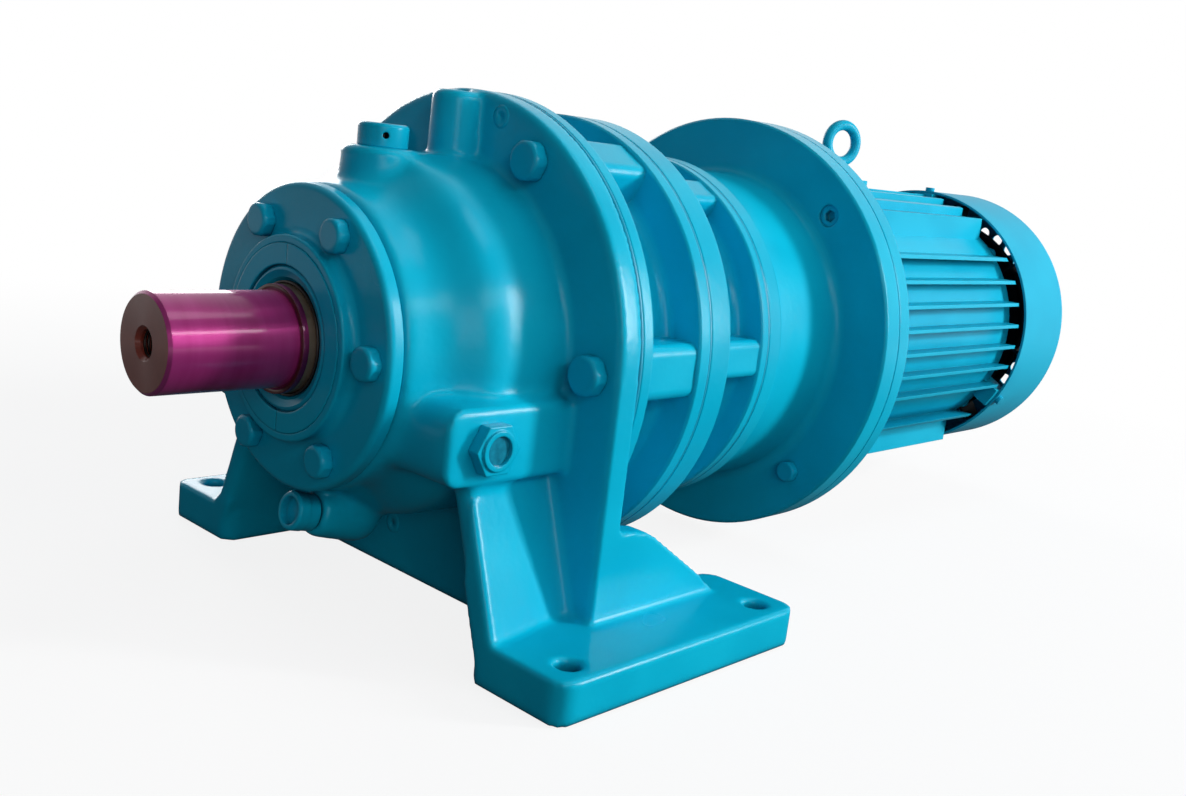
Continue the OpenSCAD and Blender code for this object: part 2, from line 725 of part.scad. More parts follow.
module ring_pins_low() color(BRIGHT)
    on_axis() around(low_lobes + 1, 270) translate([0, 0, low_ring_r])
        rod(low_pin_r, x_ring_low + 0.5, x_ring_high - 2.5);

module flange_screws() color(TEAL)
    on_axis() around(6, pad_angle) translate([0, 0, flange_pcd / 2])
        hex_screw(m18, x_flange_a, x_ring_high + ring_high_flange[0] - 4);

module locating_screw() color(TEAL)
    on_axis() around(2, locating_angle) translate([0, 0, locating_r])
        hex_screw(m12, x_ring_low + ring_low_flange[0], x_flange_a + 4);

module ring_housing_high() color(TEAL) {
    x0 = x_ring_high;
    x1 = x_adapter;
    difference() {
        union() {
            turned(concat([[plate_r, x0]],
                spool(x0, x1, ring_high_flange, flange_b_d / 2, flange_c_d / 2,
                      ring_high_barrel_d / 2, 8),
                [[high_case_r, x1], [high_case_r, x0 + plate_t], [plate_r, x0 + plate_t]]));
            bolt_pads(x0 + 1, x1 - 1, plate_r + 4, flange_c_d / 2 - 2, high_pad_w, 6);
        }
        on_axis() around(high_lobes + 1, 270) translate([0, 0, high_ring_r])
            rod(high_pin_r + seat_gap / 2, x_high_a - 4, x1 + 1);
        on_axis() around(6, pad_angle) translate([0, 0, flange_pcd / 2])
            rod(m18[0], x0 - 1, x0 + ring_high_flange[0] - 3);
        on_axis() around(6, 15) translate([0, 0, plate_screw_r]) rod(m8[0], x0 + plate_t - 1, x0 + plate_t + 14);
        on_axis() around(6, 15) translate([0, 0, adapter_screw_r]) rod(m10[0], x1 - 24, x1 + 1);
    }
}

module ring_pins_high() color(BRIGHT)
    on_axis() around(high_lobes + 1, 270) translate([0, 0, high_ring_r])
        rod(high_pin_r, x_high_a - 3.5, x_adapter - 0.5);

// Carries the intermediate shaft between the two stages
module bearing_plate() color(STEEL) difference() {
    turned([[plate_bearing[0] + 8, x_ring_high], [plate_r - seat_gap, x_ring_high],
            [plate_r - seat_gap, x_ring_high + plate_t], [plate_bearing[1], x_ring_high + plate_t],
            [plate_bearing[1], x_plate_bearing], [plate_bearing[0] + 8, x_plate_bearing]]);
    on_axis() around(6, 15) translate([0, 0, plate_screw_r]) rod(m8[0] + 0.3, x_ring_high - 1, x_adapter);
}

module inner_screws() color(STEEL) {
    on_axis() around(6, 15) translate([0, 0, plate_screw_r])
        socket_screw(m8, x_ring_high, x_ring_high + plate_t + 12);
    on_axis() around(6, 15) translate([0, 0, adapter_screw_r])
        socket_screw(m10, x_adapter + adapter_wall_t, x_adapter - 20);
}

// ---- motor adapter and motor ---------------------------------------------------------

module motor_adapter() color(TEAL) {
    x0 = x_adapter;
    x1 = x_motor;
    ab = adapter_bearing;
    body_r = adapter_body_d / 2;
    rim_r = motor_flange_d / 2;
    face = x1 - adapter_flange[1];
    seal_x = x_adapter_bearing + ab[2] + 4;
    difference() {
        turned(concat(
            [[ab[1] - 6, x0], [flange_c_d / 2 - 1.5, x0], [flange_c_d / 2, x0 + 1.5],
             [flange_c_d / 2, x0 + adapter_flange[0] - 1.5],
             [flange_c_d / 2 - 1.5, x0 + adapter_flange[0]], [body_r, x0 + adapter_flange[0] + 1]],
            arc(body_r + 9, face - 9, 9, 180, 90),
            [[rim_r - 2, face], [rim_r, face + 2], [rim_r, x1 - 1], [rim_r - 1, x1],
             [motor_spigot_r, x1], [motor_spigot_r, x1 - 6], [adapter_bore_r, x1 - 6],
             [adapter_bore_r, x0 + adapter_wall_t], [ab[1] + 14, x0 + adapter_wall_t],
             [ab[1] - 8, seal_x + 12], [ab[1] - 8, seal_x - 1], [ab[1] - 6, seal_x - 3],
             [ab[1] - 6, x_adapter_bearing + ab[2]], [ab[1], x_adapter_bearing + ab[2]],
             [ab[1], x_adapter_bearing], [ab[1] - 6, x_adapter_bearing]]));
        on_axis() around(6, 15) translate([0, 0, adapter_screw_r])
            rod(m10[0] + 0.5, x0 - 1, x0 + adapter_wall_t + 1);
        on_axis() around(4, 45) translate([0, 0, motor_pcd / 2]) rod(m12[0] + 0.5, face - 20, x1 + 1);
        // the two upper screws are sunk
        for (a = [-45, 45]) on_axis() rotate([a, 0, 0]) translate([0, 0, motor_pcd / 2])
            rod(9.6, face - 1, face + 12);
    }
}

module motor_flange() color(TEAL) {
    rim_r = motor_flange_d / 2;
    db = drive_bearing;
    difference() {
        turned([[db[1] - 6, x_motor - 5], [motor_spigot_r - seat_gap, x_motor - 5],
                [motor_spigot_r - seat_gap, x_motor], [rim_r - 1, x_motor], [rim_r, x_motor + 1],
                [rim_r, x_frame - 2], [rim_r - 2, x_frame],
                [frame_bore_r - seat_gap, x_frame], [frame_bore_r - seat_gap, x_frame + 8],
                [frame_bore_r - 12, x_frame + 8], [frame_bore_r - 12, x_frame - 8],
                [db[1] + 12, x_frame - 8], [db[1] + 10, x_frame + 12], [db[1], x_frame + 12],
                [db[1], x_drive_bearing], [db[1] - 6, x_drive_bearing]]);
        on_axis() around(4, 45) translate([0, 0, motor_pcd / 2])
            rod(m12[0] + 0.5, x_motor - 1, x_frame + 1);
    }
}

module motor_flange_screws() color(TEAL) {
    face = x_motor - adapter_flange[1];
    for (a = [-45, 45]) on_axis() rotate([a, 0, 0]) translate([0, 0, motor_pcd / 2])
        socket_screw(m12, face + 12, x_frame + 14);
    for (a = [135, 225]) on_axis() rotate([a, 0, 0]) translate([0, 0, motor_pcd / 2])
        hex_screw(m12, face, x_frame + 14);
    on_axis() around(4, 45) translate([0, 0, motor_pcd / 2]) hex_nut(m12, x_frame);
}

// Cross-section of the finned frame, +Y to the right and +Z up
module frame_section() difference() {
    union() {
        circle(d = frame_core_d, $fn = 96);
        intersection() {
            circle(block_r, $fn = 96);
            translate([0, -block_drop]) square(frame_block, center = true);
        }
        intersection() {
            circle(fin_tip_r, $fn = 96);
            union() {
                for (i = [0:side_fins - 1]) side_fin(i - (side_fins - 1) / 2);
                side_fin(-lower_fin);
                for (i = [0:top_fins - 1])
                    translate([(i - (top_fins - 1) / 2) * top_pitch - fin_t / 2, -block_r])
                        square([fin_t, 2 * block_r]);
            }
        }
    }
    circle(r = frame_bore_r, $fn = 96);
}

// Pair of side fins, a number of pitches above the middle one
module side_fin(step)
    translate([-block_r, fin_lift + step * fin_pitch - fin_t / 2]) square([2 * block_r, fin_t]);

module motor_frame() color(MOTOR_TEAL) difference() {
    union() {
        translate([x_frame, 0, centre_h]) rotate([90, 0, 90]) linear_extrude(frame_len) frame_section();
        // boss under the lifting eye
        translate([eye_x + 9, 0, centre_h + frame_core_d / 2 - 8])
            linear_extrude(eye_boss_z - centre_h - frame_core_d / 2 + 8) round_rect(66, 34, 12);
        // seat of the terminal box
        translate([box_x, frame_core_d / 2 - 12, centre_h]) rotate([-90, 0, 0])
            linear_extrude(box_seat - frame_core_d / 2 + 12) round_rect(box_size[0], box_size[2], 8);
    }
    translate([eye_x, 0, eye_boss_z - 20]) cylinder(r = 6, h = 40);
    on_axis() around(4, 45) translate([0, 0, shield_screw_r]) rod(m8[0], x_frame_end - 24, x_frame_end + 1);
    // cable way from the terminal box
    translate([box_x, frame_bore_r - 5, centre_h]) rotate([-90, 0, 0]) cylinder(r = 14, h = 60);
}

module stator_core() color(STEEL) ring(stator_bore_r, core_r, x_core, x_core + core_len);

// The two end turns of the winding
module stator_windings() color("#8a3f1c")
    for (x = [x_core - winding_len, x_core + core_len])
        turned(concat(arc(stator_bore_r + 12, x + 6, 6, 270, 180, 3),
                      arc(stator_bore_r + 12, x + winding_len - 6, 6, 180, 90, 3),
                      arc(core_r - 10, x + winding_len - 6, 6, 90, 0, 3),
                      arc(core_r - 10, x + 6, 6, 0, -90, 3)));

module rear_shield() color(MOTOR_TEAL) {
    eb = end_bearing;
    rim_r = frame_core_d / 2 - 1;
    x1 = x_frame_end + shield_t;
    lug_r = cowl_d / 2 - cowl_t - seat_gap;
    difference() {
        union() {
            turned([[eb[1], x_end_bearing], [eb[1] + 8, x_end_bearing], [eb[1] + 8, x_frame_end - 2],
                    [frame_bore_r - 14, x_frame_end - 2], [frame_bore_r - 14, x_frame_end - 10],
                    [frame_bore_r - seat_gap, x_frame_end - 10], [frame_bore_r - seat_gap, x_frame_end],
                    [rim_r, x_frame_end], [rim_r, x1 - 2], [rim_r - 2, x1], [eb[0], x1],
                    [eb[0], x_end_bearing + eb[2] + 3], [eb[1] - 6, x_end_bearing + eb[2] + 3],
                    [eb[1] - 6, x_end_bearing + eb[2]], [eb[1], x_end_bearing + eb[2]]]);
            // lugs that the fan cowl is screwed to
            on_axis() intersection() {
                around(3) translate([x_frame_end + 0.5, -11, rim_r - 6]) cube([shield_t + 8, 22, 40]);
                rod(lug_r, x_frame_end, x_frame_end + 40);
            }
        }
        on_axis() around(4, 45) translate([0, 0, shield_screw_r]) rod(m8[0] + 0.3, x_frame_end - 12, x1 + 1);
        on_axis() around(3) translate([x_cowl + 7, 0, rim_r - 4]) cylinder(r = m6[0], h = 30);
    }
}

module rear_shield_screws() color(MOTOR_TEAL)
    on_axis() around(4, 45) translate([0, 0, shield_screw_r])
        hex_screw(m8, x_frame_end + shield_t, x_frame_end - 20);

module motor_bearing_outer() color(BRIGHT) {
    bearing_outer(drive_bearing, x_drive_bearing, 9);
    bearing_outer(end_bearing, x_end_bearing, 9);
}

module fan_cowl() color(MOTOR_TEAL) {
    r = cowl_d / 2;
    edge = 10;
    difference() {
        turned(concat(
            [[0, x_cowl_end], [0, x_cowl_end - cowl_t]],
            arc(r - edge, x_cowl_end - edge, edge - cowl_t, 90, 0),
            [[r - cowl_t, x_cowl], [r, x_cowl]],
            arc(r - edge, x_cowl_end - edge, edge, 0, 90)));
        on_axis() around(3) translate([x_cowl + 7, 0, r - 20]) cylinder(r = m6[0] + 0.3, h = 40);
        // air holes, in rings of six, twelve and so on
        on_axis() for (k = [1:grille_rings]) around(6 * k, grille_turn)
            translate([0, 0, k * grille_pitch]) rod(grille_hole_d / 2, x_cowl_end - 9, x_cowl_end + 1);
    }
}

module cowl_screws() color(MOTOR_TEAL)
    on_axis() around(3) translate([x_cowl + 7, 0, cowl_d / 2]) {
        cylinder(r = m6[1] / 2, h = m6[2]);
        translate([0, 0, -18]) cylinder(r = m6[0] - seat_gap, h = 19);
    }

// Eye bolt; its ring stands a little out of the plane of the shaft line
module lifting_eye() color(MOTOR_TEAL) translate([eye_x, 0, eye_boss_z]) {
    wire_r = (eye_d - eye_hole_d) / 4;
    translate([0, 0, eye_stand + eye_d / 2]) rotate([90, 0, -eye_turn])
        rotate_extrude($fn = 48) translate([eye_hole_d / 2 + wire_r, 0]) circle(wire_r, $fn = 24);
    cylinder(r = 14, h = 4);
    cylinder(r1 = 9, r2 = 7, h = eye_stand + wire_r);
    translate([0, 0, -18]) cylinder(r = 6 - seat_gap, h = 20);
}

// ---- terminal box on the far side ----------------------------------------------------

// Places a child on the far side's seat, its Z along +Y
module box_place(out) translate([box_x, box_seat + out, centre_h]) rotate([-90, 0, 0]) children();

module box_screw_places()
    for (sx = [-1, 1], sy = [-1, 1])
        translate([sx * (box_size[0] / 2 - 9), sy * (box_size[2] / 2 - 9), 0]) children();

module terminal_box() color(MOTOR_TEAL) box_place(0) difference() {
    linear_extrude(box_size[1]) round_rect(box_size[0], box_size[2], 8);
    difference() {
        translate([0, 0, 4]) linear_extrude(box_size[1]) round_rect(box_size[0] - 8, box_size[2] - 8, 4);
        box_screw_places() cylinder(r = 7, h = box_size[1]);
    }
    translate([0, 0, -1]) cylinder(r = 14, h = 10);
    box_screw_places() translate([0, 0, box_size[1] - 20]) cylinder(r = 2.5, h = 30);
    // gland hole in the underside
    translate([0, 0, box_size[1] / 2]) rotate([-90, 0, 0]) cylinder(r = 10, h = 80);
}

module terminal_lid() color(MOTOR_TEAL) box_place(box_size[1] + seat_gap) difference() {
    linear_extrude(6) round_rect(box_size[0], box_size[2], 8);
    box_screw_places() translate([0, 0, -1]) cylinder(r = 2.8, h = 10);
}

module terminal_screws() color(STEEL) box_place(box_size[1] + seat_gap + 6) box_screw_places() difference() {
    union() {
        cylinder(r = 5, h = 3);
        translate([0, 0, -18]) cylinder(r = 2.5 - seat_gap, h = 19);
    }
    translate([-6, -0.6, 2]) cube([12, 1.2, 2]);
}

module cable_gland() color("#3a3d40")
    translate([box_x, box_seat + box_size[1] / 2, centre_h - box_size[2] / 2]) difference() {
        union() {
            translate([0, 0, -6]) cylinder(d = 28 / cos(30), h = 6, $fn = 6);
            translate([0, 0, -20]) cylinder(d = 26 / cos(30), h = 12, $fn = 6);
            translate([0, 0, -24]) cylinder(r1 = 10, r2 = 12, h = 4);
            translate([0, 0, -9]) cylinder(r = 10 - seat_gap, h = 17);
        }
        translate([0, 0, -30]) cylinder(r = 6.5, h = 50);
    }

// ---- what turns with the output shaft ------------------------------------------------

// Key slot outline with round ends
module key_outline(w) {
    translate([-key_len / 2 + key_w / 2, 0]) circle(d = w);
    translate([key_len / 2 - key_w / 2, 0]) circle(d = w);
    translate([-key_len / 2 + key_w / 2, -w / 2]) square([key_len - key_w, w]);
}

// Places the keyway on the shaft's far lower side, its Z outwards
module key_place() on_axis() rotate([-key_angle, 0, 0])
    translate([x_shaft_end + 8 + key_len / 2, shaft_d / 2 - key_depth, 0]) rotate([-90, 0, 0])
        children();

module output_shaft() color("#9c2c72") {
    r = shaft_d / 2;
    hub_r = rear_bearing[0] + 7;
    back = x_carrier + carrier_t;
    difference() {
        turned(concat(
            [[0, x_shaft_end], [r - 2, x_shaft_end], [r, x_shaft_end + 2], [r, x_sleeve],
             [sleeve_seat_r, x_sleeve], [sleeve_seat_r, x_front_bearing - 11],
             [front_bearing[0], x_front_bearing - 11],
             [front_bearing[0], x_front_bearing + front_bearing[2]],
             [rear_bearing[0] - 1, x_front_bearing + front_bearing[2] + 2],
             [rear_bearing[0] - 1, x_rear_bearing - 6], [rear_bearing[0], x_rear_bearing - 6],
             [rear_bearing[0], x_rear_bearing + rear_bearing[2]],
             [hub_r, x_rear_bearing + rear_bearing[2]], [hub_r, x_carrier - 2]],
            [[hub_r + 2, x_carrier], [carrier_r - 2, x_carrier], [carrier_r, x_carrier + 2],
             [carrier_r, back - 2], [carrier_r - 2, back], [pilot_bearing[1], back],
             [pilot_bearing[1], x_pilot], [pilot_bearing[1] - 5, x_pilot],
             [pilot_bearing[1] - 5, x_pilot - 8], [0, x_pilot - 8]]));
        // tapped centre hole with a protected mouth
        on_axis() rod(centre_hole_d / 2, x_shaft_end - 1, x_shaft_end + centre_hole_len);
        on_axis() translate([x_shaft_end - 1, 0, 0]) rotate([0, 90, 0])
            cylinder(r1 = centre_hole_d / 2 + 3.5, r2 = centre_hole_d / 2 - 0.5, h = 4);
        key_place() linear_extrude(20) key_outline(key_w + 2 * seat_gap);
        on_axis() around(low_out_n) translate([0, 0, low_out_r])
            rod(low_out_pin_r + seat_gap / 2, x_carrier - 1, back + 1);
    }
}

module wear_sleeve() color("#b08040")
    ring(sleeve_seat_r + seat_gap, sleeve_d / 2, x_sleeve, x_sleeve + sleeve_len);

module output_bearing_rings() color(BRIGHT) {
    bearing_inner(front_bearing, x_front_bearing);
    bearing_inner(rear_bearing, x_rear_bearing);
    bearing_outer(pilot_bearing, x_pilot, 9);
}

module output_pins() color(BRIGHT) on_axis() around(low_out_n) translate([0, 0, low_out_r])
    rod(low_out_pin_r, x_carrier, x_low_end + 6);

module output_rollers() color(STEEL) on_axis() around(low_out_n) translate([0, 0, low_out_r])
    roller(low_out_pin_r, low_roller_r, x_low_a - 2, x_low_end + 2);

// Roller on a pin
module roller(r_in, r_out, x0, x1) difference() {
    rod(r_out, x0, x1);
    rod(r_in + run_gap, x0 - 1, x1 + 1);
}

// ---- what turns with the intermediate shaft ------------------------------------------

module intermediate_shaft() color(STEEL) {
    back = x_mid_carrier + mid_carrier_t;
    pb = plate_bearing;
    difference() {
        turned([[0, x_pilot - 3], [pilot_bearing[0], x_pilot - 3],
                [pilot_bearing[0], x_pilot + pilot_bearing[2]],
                [low_shaft_r, x_pilot + pilot_bearing[2]], [low_shaft_r, x_low_end + 2],
                [pb[0] - 1, x_low_end + 2], [pb[0] - 1, x_plate_bearing], [pb[0], x_plate_bearing],
                [pb[0], x_plate_bearing + pb[2]], [pb[0] + 4, x_plate_bearing + pb[2]],
                [pb[0] + 4, x_mid_carrier], [mid_carrier_r, x_mid_carrier], [mid_carrier_r, back],
                [nose_bearing[1], back], [nose_bearing[1], x_nose], [nose_bearing[1] - 4, x_nose],
                [nose_bearing[1] - 4, x_nose - 4], [0, x_nose - 4]]);
        on_axis() around(high_out_n) translate([0, 0, high_out_r])
            rod(high_out_pin_r + seat_gap / 2, x_mid_carrier - 1, back + 1);
    }
}

// Two eccentrics in one piece, on opposite sides of the shaft line
module eccentrics(r, bore_r, e, xa, xb, t) on_axis() difference() {
    union() {
        translate([0, e, 0]) rod(r, xa, xa + t);
        translate([0, -e, 0]) rod(r, xb, xb + t);
        rod(bore_r + 2, xa - 1, xb + t + 1);
    }
    rod(bore_r + seat_gap, xa - 2, xb + t + 2);
}

module low_eccentric() color(STEEL)
    eccentrics(low_ecc_r, low_shaft_r, low_ecc, x_low_a, x_low_b, low_disc_t);

module intermediate_bearing_rings() color(BRIGHT) {
    bearing_inner(pilot_bearing, x_pilot);
    bearing_inner(plate_bearing, x_plate_bearing);
    bearing_outer(nose_bearing, x_nose, 8);
}

module intermediate_pins() color(BRIGHT) on_axis() around(high_out_n) translate([0, 0, high_out_r])
    rod(high_out_pin_r, x_mid_carrier, x_high_end + 5);

module intermediate_rollers() color(STEEL) on_axis() around(high_out_n) translate([0, 0, high_out_r])
    roller(high_out_pin_r, high_roller_r, x_high_a - 2, x_high_end + 2);

// ---- cycloid discs -------------------------------------------------------------------

// Disc with its bore and its holes for the output rollers, centred on its own axis
module cycloid_disc(R, rp, e, n, t, bore_r, out_n, out_r, roller_r)
    rotate([90, 0, 90]) linear_extrude(t) difference() {
        polygon(cycloid(R, rp + mesh_gap, e, n, lobe_points));
        circle(bore_r);
        for (i = [0:out_n - 1])
            rotate(360 * i / out_n) translate([0, out_r]) circle(roller_r + e + mesh_gap);
    }

// Race and rollers between a disc's bore and its eccentric
module disc_bearing(ecc_r, bore_r, t, count) {
    race_r = ecc_r + (bore_r - ecc_r) * 0.6;
    roller_r = (race_r - ecc_r - run_gap) / 2;
    difference() {
        rod(bore_r - seat_gap, 1, t - 1);
        rod(race_r, 0, t);
    }
    around(count) translate([0, 0, race_r - roller_r]) rod(roller_r, 2, t - 2);
}

// Puts a disc's child at its station on its eccentric; the second disc is turned by half a turn
module disc_place(x0, e, half) on_axis() translate([x0, 0, 0])
    rotate([180 * half, 0, 0]) translate([0, e, 0]) children();

module low_disc(x0, half) color(BRIGHT) disc_place(x0, low_ecc, half)
    cycloid_disc(low_ring_r, low_pin_r, low_ecc, low_lobes, low_disc_t, low_bore_r,
                 low_out_n, low_out_r, low_roller_r);

module low_disc_bearing(x0, half) color(STEEL) disc_place(x0, low_ecc, half)
    disc_bearing(low_ecc_r, low_bore_r, low_disc_t, 20);

module high_disc(x0, half) color(BRIGHT) disc_place(x0, high_ecc, half)
    cycloid_disc(high_ring_r, high_pin_r, high_ecc, high_lobes, high_disc_t, high_bore_r,
                 high_out_n, high_out_r, high_roller_r);

module high_disc_bearing(x0, half) color(STEEL) disc_place(x0, high_ecc, half)
    disc_bearing(high_ecc_r, high_bore_r, high_disc_t, 18);

module low_disc_a() low_disc(x_low_a, 0);
module low_disc_b() low_disc(x_low_b, 1);
module low_disc_bearing_a() low_disc_bearing(x_low_a, 0);
module low_disc_bearing_b() low_disc_bearing(x_low_b, 1);
module high_disc_a() high_disc(x_high_a, 0);
module high_disc_b() high_disc(x_high_b, 1);
module high_disc_bearing_a() high_disc_bearing(x_high_a, 0);
module high_disc_bearing_b() high_disc_bearing(x_high_b, 1);

// ---- what turns with the motor shaft -------------------------------------------------

module motor_shaft() color(STEEL) {
    nb = nose_bearing;
    ab = adapter_bearing;
    db = drive_bearing;
    eb = end_bearing;
    turned([[0, x_nose - 2], [nb[0], x_nose - 2], [nb[0], x_nose + nb[2]], [high_shaft_r, x_nose + nb[2]],
            [high_shaft_r, x_high_end + 2], [ab[0] - 1, x_high_end + 2], [ab[0] - 1, x_adapter_bearing],
            [ab[0], x_adapter_bearing], [ab[0], x_adapter_bearing + ab[2]],
            [ab[0] + 1, x_adapter_bearing + ab[2]], [ab[0] + 1, x_adapter_bearing + ab[2] + 18],
            [db[0] - 1, x_adapter_bearing + ab[2] + 20], [db[0] - 1, x_drive_bearing],
            [db[0], x_drive_bearing], [db[0], x_drive_bearing + db[2]],
            [rotor_shaft_r, x_drive_bearing + db[2]],
            [rotor_shaft_r, x_end_bearing - 20], [eb[0] + 3, x_end_bearing - 20],
            [eb[0] + 3, x_end_bearing], [eb[0], x_end_bearing], [eb[0], x_end_bearing + eb[2]],
            [eb[0] - 3, x_end_bearing + eb[2]], [eb[0] - 3, x_fan - 2], [fan_bore_r, x_fan - 2],
            [fan_bore_r, x_fan + fan_len + 0.2], [fan_bore_r - 1, x_fan + fan_len + 0.2],
            [fan_bore_r - 1, x_fan + fan_len + 2.4], [fan_bore_r, x_fan + fan_len + 2.4],
            [fan_bore_r, x_fan + fan_len + 6], [0, x_fan + fan_len + 6]]);
}

module high_eccentric() color(STEEL)
    eccentrics(high_ecc_r, high_shaft_r, high_ecc, x_high_a, x_high_b, high_disc_t);

module rotor_core() color(STEEL) {
    ring(rotor_shaft_r + seat_gap, stator_bore_r - air_gap, x_core, x_core + core_len);
    // end rings of the cage
    for (x = [x_core - 14, x_core + core_len - 1])
        ring(stator_bore_r - 24, stator_bore_r - air_gap - 1, x, x + 15);
}

module rotor_bearing_rings() color(BRIGHT) {
    bearing_inner(nose_bearing, x_nose);
    bearing_inner(adapter_bearing, x_adapter_bearing);
    bearing_inner(drive_bearing, x_drive_bearing);
    bearing_inner(end_bearing, x_end_bearing);
}

module cooling_fan() color("#34373a") {
    ring(fan_bore_r + seat_gap, 30, x_fan, x_fan + fan_len);
    ring(29, fan_disc_r, x_fan + fan_len - 3, x_fan + fan_len);
    on_axis() around(fan_blades, fan_turn) translate([x_fan, -1.5, 28]) cube([fan_len, 3, fan_d / 2 - 28]);
}

module fan_circlip() color(STEEL)
    ring(fan_bore_r - 1 + seat_gap, fan_bore_r + 4, x_fan + fan_len + 0.3, x_fan + fan_len + 2.3);

base_housing();
front_cover();
cover_screws();
seal_retainer();
oil_seals();
case_bearing_outer();
vent_plug();
oil_gauge();
gauge_lens();
drain_plug();
ring_housing_low();
ring_pins_low();
flange_screws();
locating_screw();
ring_housing_high();
ring_pins_high();
bearing_plate();
inner_screws();
motor_adapter();
motor_flange();
motor_flange_screws();
motor_frame();
stator_core();
stator_windings();
rear_shield();
rear_shield_screws();
motor_bearing_outer();
fan_cowl();
cowl_screws();
lifting_eye();
terminal_box();
terminal_lid();
terminal_screws();
cable_gland();
output_shaft();
wear_sleeve();
output_bearing_rings();
output_pins();
output_rollers();
intermediate_shaft();
low_eccentric();
intermediate_bearing_rings();
intermediate_pins();
intermediate_rollers();
low_disc_a();
low_disc_b();
low_disc_bearing_a();
low_disc_bearing_b();
high_disc_a();
high_disc_b();
high_disc_bearing_a();
high_disc_bearing_b();
motor_shaft();
high_eccentric();
rotor_core();
rotor_bearing_rings();
cooling_fan();
fan_circlip();
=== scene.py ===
"""Looks of a foot-mounted two-stage cycloidal gearmotor.

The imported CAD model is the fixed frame. This file gives its castings, shafts and fittings
their real finishes, adds the small fittings that the CAD leaves out, and sets up the studio
and the photograph's camera. Lengths are in metres unless a name ends in _mm.
"""

import json
import logging
import math
from dataclasses import dataclass, field
from enum import Enum
from typing import Any, Sequence

import bmesh
import bpy
from mathutils import Matrix, Vector
from mathutils.bvhtree import BVHTree


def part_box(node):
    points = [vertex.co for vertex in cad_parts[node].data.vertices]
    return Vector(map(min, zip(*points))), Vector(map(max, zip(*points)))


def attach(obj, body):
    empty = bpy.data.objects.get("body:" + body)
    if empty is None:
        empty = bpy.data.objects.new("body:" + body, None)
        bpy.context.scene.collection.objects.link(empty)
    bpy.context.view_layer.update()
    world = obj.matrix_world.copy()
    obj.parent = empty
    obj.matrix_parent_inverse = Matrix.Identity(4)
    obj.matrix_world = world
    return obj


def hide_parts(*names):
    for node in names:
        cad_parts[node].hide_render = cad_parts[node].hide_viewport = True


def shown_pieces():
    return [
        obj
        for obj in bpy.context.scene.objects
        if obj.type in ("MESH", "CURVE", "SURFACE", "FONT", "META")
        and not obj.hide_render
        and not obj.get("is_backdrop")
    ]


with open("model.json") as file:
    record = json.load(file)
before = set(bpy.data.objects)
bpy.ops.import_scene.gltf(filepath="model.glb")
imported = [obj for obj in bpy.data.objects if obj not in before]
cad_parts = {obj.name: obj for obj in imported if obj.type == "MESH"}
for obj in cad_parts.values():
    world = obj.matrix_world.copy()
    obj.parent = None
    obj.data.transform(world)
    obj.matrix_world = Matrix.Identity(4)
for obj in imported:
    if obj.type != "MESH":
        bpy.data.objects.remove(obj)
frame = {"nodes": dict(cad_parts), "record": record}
log = logging.getLogger("gearmotor")

PHOTO_W, PHOTO_H = 1186, 796
SHAFT_HEIGHT = 0.2
MM = 0.001
# A solid of revolution's outline starts this far from its axis, so that no faces collapse there.
AXIS_MM = 0.05

Tree = bpy.types.NodeTree
Socket = bpy.types.NodeSocket


# ---- node helpers ----------------------------------------------------------------------


def linear(code: str) -> tuple[float, float, float, float]:
    """Turn an sRGB hex code into linear colour.

    Args:
        code: Colour such as "#0a9cc0".

    Returns:
        Linear red, green, blue and an alpha of 1.
    """
    values = [int(code[i : i + 2], 16) / 255 for i in (1, 3, 5)]
    curve = [v / 12.92 if v <= 0.04045 else ((v + 0.055) / 1.055) ** 2.4 for v in values]
    return curve[0], curve[1], curve[2], 1.0


def add(
    tree: Tree, kind: str, links: dict | None = None, out: str | int = 0, **settings: Any
) -> Socket | None:
    """Add a shader node with its settings and links.

    Args:
        tree: Node tree that takes the node.
        kind: Blender's node type, such as "ShaderNodeTexNoise".
        links: Input name or index to a fixed value or to another node's output socket.
        out: Name or index of the output wanted.
        **settings: Attributes set on the node itself.

    Returns:
        The output wanted, or nothing for a node without outputs.
    """
    node = tree.nodes.new(kind)
    for name, value in settings.items():
        setattr(node, name, value)
    for name, value in (links or {}).items():
        socket = node.inputs[name]
        if isinstance(value, bpy.types.NodeSocket):
            tree.links.new(value, socket)
        else:
            socket.default_value = value
    return node.outputs[out] if node.outputs else None


def blank_material(name: str) -> tuple[bpy.types.Material, Tree, Socket]:
    """Make an empty node material.

    Args:
        name: Name of the material.

    Returns:
        The material, its node tree and the piece's own coordinates in metres.
    """
    material = bpy.data.materials.new(name)
    material.use_nodes = True
    tree = material.node_tree
    tree.nodes.clear()
    return material, tree, add(tree, "ShaderNodeTexCoord", out="Object")


def patchy_tone(
    tree: Tree, where: Socket, size_mm: float, detail: float, span: tuple[float, float],
    codes: tuple[str, str], easing: str = "LINEAR",
) -> tuple[Socket, Socket]:
    """Drift between two colours in soft patches.

    Args:
        tree: Node tree that takes the nodes.
        where: Coordinates in metres.
        size_mm: Size of the patches.
        detail: Octaves of finer patches within them.
        span: Noise values where the first and the second colour are pure.
        codes: The two colours.
        easing: How one turns into the other.

    Returns:
        The noise and the colour.
    """
    noise = add(tree, "ShaderNodeTexNoise", {"Vector": where, "Scale": 1000 / size_mm, "Detail": detail})
    share = add(
        tree, "ShaderNodeMapRange", {"Value": noise, "From Min": span[0], "From Max": span[1]},
        interpolation_type=easing,
    )
    colours = {"Factor": share, 6: linear(codes[0]), 7: linear(codes[1])}
    return noise, add(tree, "ShaderNodeMix", colours, out=2, data_type="RGBA")


